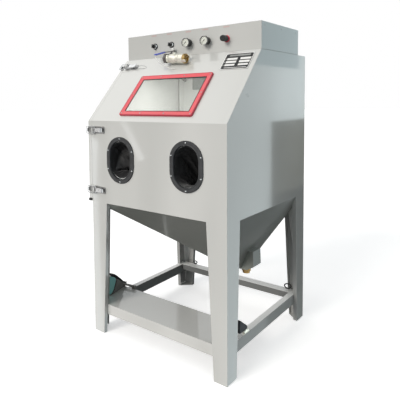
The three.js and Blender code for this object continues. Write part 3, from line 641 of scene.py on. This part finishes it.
def screw(shape, place, radius, height=2.2):
    """A pan-head screw with a small recess."""
    lathe(shape, [(0, height * 0.55), (radius * 0.34, height * 0.55), (radius * 0.4, height),
                  (radius * 0.78, height * 0.86), (radius, height * 0.3), (radius, 0)], place, 20, 0.4)


def bolt(shape, place, radius, height):
    """A hexagon head on a washer."""
    lathe(shape, [(radius * 1.3, 0), (radius * 1.3, 1.2), (0, 1.2)], place, 28, 0.3)
    hexagon = soften_loop(polygon(radius, 6), radius * 0.12, 2)
    slab(shape, hexagon, 1.2, height, place, 0.6)


def on_front(x, z, h=0.0):
    return plane(at(x, -h, z), X, Z)


def on_face(x, s, h=0.0):
    return plane(on_slope(x, s, h), X, SLOPE_UP)


def on_header(x, h=0.0, z=CONTROL_Z):
    return plane(at(x, HEADER_FRONT - h, z), X, Z)


def on_right(y, z):
    return plane(at(WIDTH, y, z), Y, Z)


def on_rear(x, z, h=0.0):
    return plane(at(x, DEPTH + h, z), -X, Z)


def on_top(x, y, z):
    return plane(at(x, y, z), X, Y)


# --- sheet metal
def build_sheets():
    for node in ("front_panel", "right_panel", "left_door_frame", "rear_panel", "top_panel",
                 "control_panel", "header_cover", "dust_outlet_collar"):
        dress(node, "paint", 0.7)
    dress("foot_shelf", "shelf", 1.3, 3)
    for node in ("left_rail", "right_rail", "rear_rail"):
        dress(node, "rail", 0.9)
    # the hopper and the pickup box take darker copies of the grey paint as painted shade
    dress("hopper", "hopper", 0.8)
    dress("media_pickup_box", "pickup", 0.8)
    dress("side_door", "paint", 0.9)
    dress("lamp_housing", "inner", 2.0)
    dress("door_seal", "seal", 3.0, 3)
    dress("work_grate", "steel", 0.8)


def build_header_seam():
    """Sealant in the joint between the header and the chamber's top."""
    shape = bmesh.new()
    for x in (-11, 898.6):
        tube(shape, [(x, 346, 1613.2), (x, 809, 1613.2)], 1.25, on_top(0, 0, 0), 10)
    finish_piece("header_seam", shape, "paint")


def build_fasteners():
    """Bolts and screws that hold the rails, the dust collar and the header cover."""
    shape = bmesh.new()
    for turn in range(6):
        a = math.radians(60 * turn + 30)
        bolt(shape, on_rear(450 + 76 * math.cos(a), 1420 + 76 * math.sin(a), 3.0), 4.5, 4.5)
    for x, y in ((22, 300), (22, 875), (862, 128), (862, 875)):
        bolt(shape, on_top(x, y, 167), 5.0, 4.5)
    for y in (380, 575, 770):
        screw(shape, on_right(y, 1735), 3.6)
    for x in (120, 450, 780):
        screw(shape, on_top(x, 790, 1755), 3.6)
    finish_piece("frame_bolts", shape, "steel")


# --- window
WINDOW_X, WINDOW_S, WINDOW_W, WINDOW_H = 445, 189.5, 490, 301


def build_window():
    place = on_face(WINDOW_X, WINDOW_S)
    outline = round_box(WINDOW_W, WINDOW_H, 11, 6)
    section = [(5.2, 0.3), (5.2, 10.6), (6.5, 10.2), (15, 9.4), (26.5, 8.4), (28.6, 7.6), (29.4, 6.0),
               (29.4, 5.7), (18, 5.7), (18, 0.3)]
    shape = bmesh.new()
    band(shape, outline, section, place)
    finish_piece("window_surround", shape, "red", "window_frame", smooth=40)
    # the rim's darker red is painted shade on the same red paint
    rim = bmesh.new()
    edge = [(0, 0.3), (0, 7.6), (0.8, 10.0), (2.6, 11.4), (4.2, 11.4), (5.2, 10.6), (5.2, 0.3)]
    band(rim, outline, edge, place)
    finish_piece("window_rim", rim, "red_edge", smooth=40)

    gasket = bmesh.new()
    inner = round_box(WINDOW_W - 58.8, WINDOW_H - 58.8, 5, 4)
    band(gasket, inner, [(-0.6, 5.6), (-0.6, 9.0), (0.6, 9.6), (2.4, 8.4), (3.2, 5.6)], place)
    finish_piece("window_gasket", gasket, "rubber")
    dress("window_glass", "glass", 0.5)

    heads = bmesh.new()
    side, rise = WINDOW_W / 2 - 14, WINDOW_H / 2 - 14
    spots = [(u, v) for u in (-side, side) for v in (-rise, rise, 8)]
    spots += [(u - WINDOW_X, v) for u in (349, 510) for v in (-rise, rise)]
    for u, v in spots:
        screw(heads, on_face(WINDOW_X + u, WINDOW_S + v, 9.3), 4.2, 2.2)
    finish_piece("window_screws", heads, "steel")


# --- glove ports
# Side, place across, and the sleeve's twist, random start, push and pleat.
PORTS = (("left", 228, (0.5, 3.1, 62, 60)), ("right", 672, (-1.4, 7.7, 18, 0)))


def build_port(side, x):
    place = on_front(x, PORT_Z)
    outline = round_box(200, 258, 99.9, 12)
    section = [(0, 0.3), (0, 4.2), (0.8, 6.2), (2.6, 7.2), (15, 7.3), (16.2, 6.5), (17.2, 6.5), (18.2, 7.6),
               (20.5, 8.7), (23, 8.3), (24.6, 6.4), (25, 3), (25, -6), (21, -6), (21, 0.3)]
    ring = bmesh.new()
    band(ring, outline, section, place)
    finish_piece(f"port_ring_{side}", ring, "ring", f"glove_ring_{side}", smooth=40)
    heads = bmesh.new()
    for u, v in ((0, 119), (0, -119), (-89, 52), (89, 52), (-89, -52), (89, -52)):
        screw(heads, on_front(x + u, PORT_Z + v, 7.0), 4.2, 2.8)
    finish_piece(f"port_screws_{side}", heads, "chrome")


def clamp(value):
    return max(0.0, min(1.0, value))


def pleat_depth(v, y):
    """How far a side wall folds in at a height v and a depth y, from 0 to 1: widest at its foot."""
    drop = (62 - v) / 118
    spread = 10 + 58 * clamp(drop)
    flank = max(0.0, 1 - abs(y - 100) / spread) * clamp(drop * 3) * clamp((1.1 - drop) * 9)
    return flank * (0.35 + 0.65 * clamp(drop))


def build_sleeve(side, x, twist, seed, peak, tuck):
    """A limp rubberised sleeve: its mouth fits the ring, then it sags, collapses and crumples.

    tuck: how far its left wall folds in as one big triangular pleat."""
    around, along = 150, 110
    shape = bmesh.new()
    rings = []
    for j in range(along):
        t = j / (along - 1)
        fade = min(1.0, t * 4.0)
        settle = t * t * (3 - 2 * t)
        width = 148 - 34 * settle
        height = 206 - 128 * settle
        y = 4 + 292 * t
        low = -103 - 102 * settle
        ring = []
        for i in range(around):
            a = 2 * math.pi * i / around + twist * t
            c, sn = math.cos(a), math.sin(a)
            straight = max(height - width, 0) / 2
            u = c * width / 2
            v = sn * width / 2 * min(1.0, height / width)
            v += math.copysign(straight, sn) * min(1, abs(sn) * 6) + low + height / 2
            spot = Vector((c * 1.25, sn * 1.25, t * 2.6 + seed))
            crumple = noise.ridged_multi_fractal(spot, 0.9, 2.1, 3, 1.0, 2.0) - 1.15
            pleat = math.sin(5 * a + 6.5 * t + seed + 1.4 * math.sin(9 * t)) * 0.6
            reach = fade * (crumple * 15 + pleat * 9)
            u -= c * reach
            v -= sn * reach * 0.8
            push = peak * math.exp(-((t - 0.34) / 0.2) ** 2) * max(0.0, -sn) ** 1.5
            v += push
            if c < 0:
                u += tuck * pleat_depth(v, y)
            ring.append(Vector((x + u, y - 0.35 * push * fade, PORT_Z + v)))
        rings.append([(v - ORIGIN) / 1000.0 for v in ring])
    last = rings[-1]
    centre = sum(last, Vector()) / around
    for step, swell in ((0.007, 0.85), (0.012, 0.55), (0.014, 0.2), (0.0145, 0.02)):
        rings.append([centre + (v - centre) * swell + Y * step for v in last])
    skin(shape, rings, Matrix.Identity(4), caps=False)
    area = sum(face.calc_area() for face in shape.faces)
    piece = finish_piece(f"glove_{side}", shape, "cloth", f"glove_sleeve_{side}", smooth=180)


# --- header controls
def control_x(number):
    """Where a control stands, counted from 0 at the left of the row."""
    return 208 + 123 * number


def build_switch(name, x):
    place = on_header(x)
    bezel = bmesh.new()
    lathe(bezel, [(0, 0.3), (15, 0.3), (15, 3.4), (14.2, 5.4), (12.6, 8.0), (12.4, 12), (0, 12)],
          place, 40, 0.9)
    finish_piece(f"{name}_switch_collar", bezel, "chrome", f"{name}_switch_bezel")
    washer = bmesh.new()
    lathe(washer, [(14.6, 0.2), (18.2, 0.2), (18.2, 3.0), (17.2, 4.6), (15.2, 5.0), (14.6, 4.2)],
          place, 44, 0.4)
    finish_piece(f"{name}_switch_gasket", washer, "black")
    cap = bmesh.new()
    lathe(cap, [(0, 12.4), (11, 12.4), (11, 20.2), (9.8, 22), (0, 22)], place, 36, 0.8, 24, 0.04)
    lever = [(-4, -10.4), (4, -10.4), (3.2, 9.6), (1.8, 11.4), (-1.8, 11.4), (-3.2, 9.6)]
    slab(cap, soften_loop(lever, 1.5), 20, 34, place, 1.4)
    body = f"{name}_switch"
    finish_piece(f"{name}_switch_grip", cap, "black", f"{name}_switch_knob", body)
    line = bmesh.new()
    slab(line, rectangle(-0.7, 0.7, 1.5, 9.6), 33.7, 34.3, place, 0.2)
    finish_piece(f"{name}_switch_mark", line, "white", body=body)


def build_gauge(name, x):
    place = on_header(x)
    case = bmesh.new()
    lathe(case, [(0, 0.3), (21.5, 0.3), (21.5, 25.5), (25.6, 28.5), (26, 31), (26, 38), (25.2, 40),
                 (23.6, 40), (23.2, 38.6), (23.2, 34.2), (0, 34.2)], place, 56, 0.9)
    finish_piece(f"{name}_gauge_body", case, "black", f"{name}_gauge_case")
    rim = bmesh.new()
    band(rim, polygon(24.9, 56), [(0, 39.6), (-0.5, 40.3), (0.2, 40.8), (1.0, 40.5), (1.3, 39.6)], place)
    finish_piece(f"{name}_gauge_rim", rim, "chrome")
    dial = bmesh.new()
    lathe(dial, [(0, 34.3), (23.0, 34.3), (23.0, 34.9), (0, 34.9)], place, 56, 0.2)
    finish_piece(f"{name}_gauge_dial", dial, "dial")
    marks = bmesh.new()
    for k in range(31):
        a = math.radians(225 - 9 * k)
        inner, half = (15.6, 0.55) if k % 5 == 0 else (18.2, 0.28)
        spin = place @ Matrix.Rotation(a, 4, "Z")
        slab(marks, rectangle(inner, 20.6, -half, half), 34.8, 35.2, spin, 0.1)
    band(marks, polygon(20.9, 60), [(0, 34.8), (0, 35.2), (0.5, 35.2), (0.5, 34.8)], place)
    finish_piece(f"{name}_gauge_marks", marks, "black")
    dress(f"{name}_gauge_needle", "black", 0.15)
    lens = bmesh.new()
    lathe(lens, [(0, 38.2), (23.0, 38.2), (23.0, 39.0), (0, 39.8)], place, 48, 0.2)
    finish_piece(f"{name}_gauge_lens", lens, "lens")


def build_regulator(x):
    ring = bmesh.new()
    collar = [(9, 0.3), (19, 0.3), (19, 5), (17.4, 7), (9.6, 7), (9, 6.4), (9, 0.4)]
    lathe(ring, collar, on_header(x), 48, 0.8, 30, 0.03)
    finish_piece("regulator_ring", ring, "crimson", "regulator_lock_ring")
    knob = bmesh.new()
    lathe(knob, [(0, 2), (8.5, 2), (8.5, 7.3), (15, 7.3), (16.5, 11.5), (16.5, 45), (15.2, 48.4),
                 (12.6, 50), (9, 50), (8.4, 48.8), (0, 48.8)], on_header(x), 96, 1.3, 32, 0.07)
    finish_piece("regulator_grip", knob, "black", "regulator_knob", "pressure_regulator")


def build_labels():
    shape = bmesh.new()
    for x in (199, 315, 450, 565, 697):
        slab(shape, round_box(38, 7.5, 1.2, 3), 0.05, 0.3, on_header(x, 0, 1745), 0.1)
    finish_piece("control_labels", shape, "label")


PLATE_X, PLATE_S = 792, 421


def build_rating_plate():
    """A blank plate: rows of empty fields where a maker would print."""
    place = on_face(PLATE_X, PLATE_S)
    plate = bmesh.new()
    slab(plate, round_box(165, 121, 6, 6), 0.3, 1.5, place, 0.5)
    finish_piece("rating_plate_face", plate, "black", "rating_plate")
    light = bmesh.new()
    band(light, round_box(161, 117, 5, 6), [(-1.4, 1.4), (-1.4, 1.8), (2.4, 1.8), (2.4, 1.4)], place)
    fields = [(u, v, 60, 15) for u in (-34, 43) for v in (18, -4.5)]
    fields += [(43, -27, 56, 13), (-34, -27, 58, 13), (4.5, -47, 128, 3.2)]
    for u, v, w, h in fields:
        slab(light, rectangle(u - w / 2, u + w / 2, v - h / 2, v + h / 2), 1.4, 1.8, place, 0.15)
    finish_piece("rating_plate_fields", light, "white")
    grey = bmesh.new()
    slab(grey, rectangle(-58, 62, 37, 50), 1.4, 1.8, place, 0.15)
    for v in (18, -4.5, -27):
        slab(grey, rectangle(-76, -68, v - 4, v + 4), 1.4, 1.8, place, 0.15)
    finish_piece("rating_plate_heading", grey, "band")
    rivets = bmesh.new()
    for u in (-75, 75):
        for v in (-53, 53):
            screw(rivets, on_face(PLATE_X + u, PLATE_S + v, 1.5), 3.0, 1.6)
    finish_piece("rating_plate_rivets", rivets, "chrome")


# --- air inlet valve
def valve_frame():
    droop = 0.067
    along = Vector((math.cos(droop), 0, -math.sin(droop)))
    return plane(at(337, 275, 1597), along, Y)


def through(place, x):
    """A frame on the valve whose z runs along the bore from a distance x."""
    return place @ Matrix(((0, 0, 1, x), (1, 0, 0, 0), (0, 1, 0, 0), (0, 0, 0, 1)))


def build_valve():
    """The cast valve body with its elbow on the left, and a hose union on the right."""
    place = valve_frame()
    bore = through(place, 0)
    elbow = bmesh.new()
    slab(elbow, soften_loop(polygon(30, 6), 3, 3), -2, 15.8, bore, 2.0)
    tube(elbow, [(6, 0, 0), (6, 40, 20), (6, 66, 35)], 13.6, place, 24, soft=14)
    finish_piece("inlet_elbow_casting", elbow, "dark_steel", "inlet_elbow")

    body = bmesh.new()
    lathe(body, [(0, 16.3), (22, 16.3), (23, 18), (23, 30), (25, 36), (27, 42), (27.6, 56), (26.8, 72),
                 (24.6, 80), (24.6, 83), (26.8, 84), (26.8, 96.6), (25.6, 98), (0, 98)], bore, 48, 2.0)
    stem = place @ Matrix.Translation((62, 0, 0))
    lathe(body, [(0, 20), (11, 20), (11, 27), (9, 29.5), (9, 34.8), (0, 34.8)], stem, 28, 0.8)
    slab(body, soften_loop(polygon(26.6, 8), 2, 2), 18.5, 27.5, bore, 1.4)
    finish_piece("inlet_valve_casting", body, "nickel", "inlet_valve_body")

    union = bmesh.new()
    octagon = soften_loop(polygon(27.6, 8), 2.4, 3)
    rim = [(0.94, 98.4), (1.0, 100.4), (1.0, 128), (0.97, 129.4), (0.88, 129.8), (0.88, 131)]
    rings = [[Vector((p[0] * k, p[1] * k, h)) for p in octagon] for k, h in rim]
    turns = [math.atan2(p[1], p[0]) for p in octagon]
    rings += [[Vector((20.8 * math.cos(a), 20.8 * math.sin(a), h)) for a in turns] for h in (131, 121)]
    skin(union, rings, bore)
    for turn in (0.6, 0.6 + math.pi):
        lug = bore @ Matrix.Rotation(turn, 4, "Z")
        slab(union, soften_loop(rectangle(20.5, 27.8, -8, 8), 2.5, 3), 128, 153.6, lug, 1.8)
    finish_piece("inlet_union_nut", union, "nickel")

    mouth = bmesh.new()
    lathe(mouth, [(21.4, 129.9), (26.4, 129.9), (27.4, 132), (27.4, 142), (26, 144.6), (22.6, 145),
                  (21.2, 143.4), (21.2, 130)], bore, 48, 0.9)
    finish_piece("inlet_union_collar", mouth, "brass", "inlet_hose_union")


def build_valve_lever():
    place = valve_frame()
    lever = bmesh.new()
    strap = [(73, 35.4), (73, 38.2), (50, 41.2), (6, 38.4), (-6, 38.2), (-6, 35.4), (6, 35.5), (50, 38.3),
             (52, 35.4)]
    side_slab(lever, soften_loop(strap, 1.5, 2), -8, 8, place, 0.8)
    bolt(lever, place @ Matrix.Translation((62, 0, 38.2)), 6.0, 8.5)
    finish_piece("inlet_lever_strap", lever, "dark_steel", body="inlet_lever")
    grip = bmesh.new()
    sleeve = [(0, 35.0), (0, 39.6), (-30, 33.4), (-76, 25.4), (-81, 22.6), (-80, 18.6), (-76, 17.4),
              (-30, 26.4)]
    side_slab(grip, soften_loop(sleeve, 4, 4), -10, 10, place, 2.4)
    finish_piece("inlet_lever_grip", grip, "blue", "inlet_valve_lever", "inlet_lever")


def build_inlet_trim():
    """A small capped vent, and a stiff tie wire on the slope."""
    cap = bmesh.new()
    lathe(cap, [(0, -14), (3.4, -14), (3.4, 10), (8.4, 11), (9.4, 14), (9.2, 22), (6.8, 26), (0, 27)],
          on_top(358, 318, 1633), 28, 1.6)
    finish_piece("inlet_vent_cap", cap, "white")
    tie = bmesh.new()
    tube(tie, [(212, 498, 9), (226, 486, 5), (252, 464, 3.4), (300, 434, 3.2), (350, 408, 3.2),
               (396, 390, 3.4), (416, 386, 6)], 1.7, on_face(0, 0), 10, soft=14)
    finish_piece("inlet_tie", tie, "white")


# --- toggle latches
LATCHES = (("upper", on_slope(25, 430, 0), SLOPE_OUT), ("middle", at(25, 0, 1194), -Y),
           ("lower", at(25, 0, 848), -Y))


def build_latch(name, origin, out):
    u = -X
    across = out.cross(u)
    place = plane(origin, u, across)
    base = bmesh.new()
    slab(base, round_box(98, 40, 6, 5, x=-35), 0.3, 2.3, place, 0.7)
    cheek = [(-8, 1.6), (8, 1.6), (6.4, 16), (3.4, 20), (-3.4, 20), (-6.4, 16)]
    for v in (14.0, -16.4):
        side_slab(base, soften_loop(cheek, 2.4, 3), v, v + 2.4, place, 0.6)
    across_bar = place @ Matrix(((1, 0, 0, 0), (0, 0, 1, 0), (0, -1, 0, 13), (0, 0, 0, 1)))
    lathe(base, [(0, -18.6), (2.6, -18.6), (4.0, -17.4), (4.0, -16.5), (2.2, -16.4), (2.2, 16.4),
                 (4.0, 16.5), (4.0, 17.4), (2.6, 18.6), (0, 18.6)], across_bar, 20, 0.3)
    for uu, v in ((-78, 13), (-78, -13), (6, 0), (-46, 15.5), (-46, -15.5)):
        screw(base, place @ Matrix.Translation((uu, v, 2.2)), 3.4, 2.0)
    finish_piece(f"latch_{name}_plate", base, "steel", f"latch_{name}_base")

    lever = bmesh.new()
    arm = [(6, 9.2), (6, 17), (-8, 18), (-34, 17), (-60, 16), (-78, 21), (-79.4, 18.4), (-62, 12.2),
           (-34, 10.6), (-17, 8.2)]
    for v0, v1 in ((-12, -9.4), (9.4, 12)):
        side_slab(lever, soften_loop(arm, 3, 3), v0, v1, place, 0.7)
    bridge = [(-20, 15.6), (-20, 17.6), (-60, 16.2), (-78, 21.2), (-79.4, 18.6), (-61, 14.0)]
    side_slab(lever, soften_loop(bridge, 1.2, 2), -11.6, 11.6, place, 0.7)
    roll = [(-79, v, 19.9) for v in (-9, 9)]
    tube(lever, roll, 2.4, place, 14)
    body = f"{name}_latch"
    finish_piece(f"latch_{name}_handle", lever, "chrome", f"latch_{name}_lever", body + "_lever")

    bail = bmesh.new()
    wire = [(-13, 8, 13), (-13, 20, 13), (52, 20, 13), (52, -20, 13), (-13, -20, 13), (-13, -8, 13)]
    tube(bail, wire, 1.95, place, 14, soft=5)
    finish_piece(f"latch_{name}_loop", bail, "chrome", f"latch_{name}_bail", body + "_bail")

    keeper = bmesh.new()
    slab(keeper, round_box(22, 34, 3, 4, x=39.5), 0.3, 2.3, place, 0.6)
    hook = [(46.6, 1.4), (49.6, 1.4), (49.6, 8.6), (48.6, 10.6), (46.6, 10.6), (45.6, 8.6), (46.6, 7.4)]
    side_slab(keeper, soften_loop(hook, 0.8, 3), -11, 11, place, 0.6)
    for v in (-11, 11):
        screw(keeper, place @ Matrix.Translation((36, v, 2.2)), 3.2, 1.8)
    finish_piece(f"latch_{name}_hook", keeper, "steel", f"latch_{name}_keeper", "door")


def build_latch_tether():
    """A thin wire loop lying on the slope beside the upper latch."""
    shape = bmesh.new()
    place = on_face(0, 0)
    path = [(100, 438, 2.5), (128, 444, 3.0), (156, 438, 2.5), (178, 428, 2.2), (182, 420, 2.2),
            (170, 414, 2.4), (146, 414, 2.6), (124, 420, 2.6), (104, 426, 2.5)]
    tube(shape, path, 1.1, place, 8, soft=8)
    finish_piece("latch_tether", shape, "chrome")


# --- hinges, foot valve and small parts
def build_hinges():
    for place, z in (("upper", 1450), ("lower", 930)):
        dress(f"hinge_{place}_fixed_leaf", "steel", 0.8)
        dress(f"hinge_{place}_door_leaf", "steel", 0.8)
        moving, fixed = bmesh.new(), bmesh.new()
        for dz in (-30, 0, 30):
            screw(moving, plane(at(-29.2, 893, z + dz), -Y, Z), 4.2, 2.2)
            screw(fixed, on_rear(20, z + dz, 2.9), 4.2, 2.2)
        finish_piece(f"hinge_{place}_door_screws", moving, "steel", body="door")
        finish_piece(f"hinge_{place}_frame_screws", fixed, "steel")


def foot_frame():
    yaw = 0.183
    along = Vector((math.cos(yaw), math.sin(yaw), 0))
    side = Vector((-math.sin(yaw), math.cos(yaw), 0))
    return plane(at(8, 138, 167.3), along, side)


def build_foot_valve():
    # the base takes the dark grey-brown as painted shade on the casting's sides
    dress("foot_valve_base", "cheek", 1.4, 3)
    place = foot_frame()
    block = bmesh.new()
    turn = place @ Matrix(((0, 0, 1, 0), (1, 0, 0, 0), (0, 1, 0, 0), (0, 0, 0, 1)))
    nose = [(-18, 3.3), (2, 3.3), (25, 27), (49, 76), (46, 87), (26, 101), (-16, 114), (-24, 108),
            (-24, 20)]
    slab(block, soften_loop(nose, 9, 5), -50, -2, turn, 5.0)
    finish_piece("foot_valve_nose", block, "teal", "foot_valve_block")
    dress("foot_valve_treadle", "pedal", 1.1, 3)
    ribs = bmesh.new()
    for k in range(9):
        t = k / 8
        y, z = -18 + 42 * t, 134.2 - 14.2 * t
        slab(ribs, rectangle(-58, 2, y - 1.3, y + 1.3), z - 0.6, z + 1.5, place, 0.5)
    finish_piece("foot_valve_ribs", ribs, "rubber", body="treadle")
    tab = bmesh.new()
    slab(tab, soften_loop([(2.2, 112), (2.2, 283), (-27, 283), (-6, 150)], 3, 3), 163.8, 166.8,
         on_top(0, 0, 0), 0.8)
    finish_piece("shelf_tab", tab, "paint")
    bolts = bmesh.new()
    bolt(bolts, place @ Matrix.Translation((71, 135, 20)), 4.4, 4.6)
    finish_piece("foot_valve_bolt", bolts, "steel")


def build_clips():
    """Rubber line clips on the rails and a stop at the door's lower front corner."""
    rings = bmesh.new()
    for x, y, z, radius, lean in ((822, 872, 189, 21, 0.5), (126, 872, 189, 13, 0.2)):
        place = plane(at(x, y, z), X, Vector((0, math.sin(lean), math.cos(lean))))
        outline = [(v.x, v.y * 0.6) for v in circle(radius, 28)]
        band(rings, outline, [(-3.4, -2.4), (-4.2, 0), (-3.4, 2.4), (0, 3.6), (2.8, 2.4), (3.4, 0),
                              (2.8, -2.4), (0, -3.6)], place)
        foot = rectangle(-9, 9, -radius * 0.6 - 6, -radius * 0.6 + 2)
        slab(rings, soften_loop(foot, 2, 2), -5, 5, place, 1.2)
    finish_piece("rail_clips", rings, "rubber")
    wedge = bmesh.new()
    place = plane(at(880, 0, 0), Y, Z)
    slab(wedge, soften_loop([(150, 192), (150, 248), (158, 260), (186, 238), (228, 208), (230, 192)], 6, 4),
         -16, 4, place, 3.0)
    finish_piece("hose_stop", wedge, "pedal")
    tail = bmesh.new()
    tube(tail, [(206, 172, -6), (228, 176, -6), (250, 172, -6)], 8, place, 20, soft=6)
    finish_piece("hose_stop_ferrule", tail, "nickel")
    stop = bmesh.new()
    slab(stop, soften_loop(rectangle(-24.5, -3, 0, 15), 3, 3), -0.2, 9, on_front(0, 778), 2.2)
    finish_piece("door_stop", stop, "rubber", body="door")


def build_inside():
    dress("media_drain_plug", "plug", 1.2, 3)
    dress("blast_gun", "steel", 1.6, 3)
    place = plane(at(0, 896, 0), X, Z)
    baffle = bmesh.new()
    slab(baffle, round_box(716, 124, 8, 4, x=450, y=1494), -4, 0, place, 1.2)
    for x in (100, 800):
        slab(baffle, rectangle(x - 3, x + 3, 1440, 1548), -21, -4, place, 0.6)
    finish_piece("dust_baffle", baffle, "baffle")
    gland = bmesh.new()
    lathe(gland, [(0, -21), (12, -21), (12, -15), (8, -13), (7, 6), (5, 8), (0, 8)],
          plane(at(18, 896, 1505), X, Z), 28, 0.8)
    finish_piece("cable_gland", gland, "black")


def build_floor():
    shape = bmesh.new()
    bmesh.ops.create_grid(shape, x_segments=4, y_segments=4, size=60.0)
    mesh = as_mesh("floor", shape)
    mesh.materials.append(M["floor"])
    floor = add_object("floor", mesh)
    floor.visible_glossy = floor.visible_diffuse = False


build_camera()
build_lights()
build_cards()
build_floor()
build_sheets()
build_header_seam()
build_fasteners()
build_window()
for port_side, port_x, sleeve_shape in PORTS:
    build_port(port_side, port_x)
    build_sleeve(port_side, port_x, *sleeve_shape)
for switch, number in (("light", 0), ("blower", 1)):
    build_switch(switch, control_x(number))
for gauge, number in (("supply", 2), ("blast", 3)):
    build_gauge(gauge, control_x(number))
build_regulator(control_x(4))
build_labels()
build_rating_plate()
build_valve()
build_valve_lever()
build_inlet_trim()
for latch_name, latch_origin, latch_out in LATCHES:
    build_latch(latch_name, latch_origin, latch_out)
build_latch_tether()
build_hinges()
build_foot_valve()
build_clips()
build_inside()
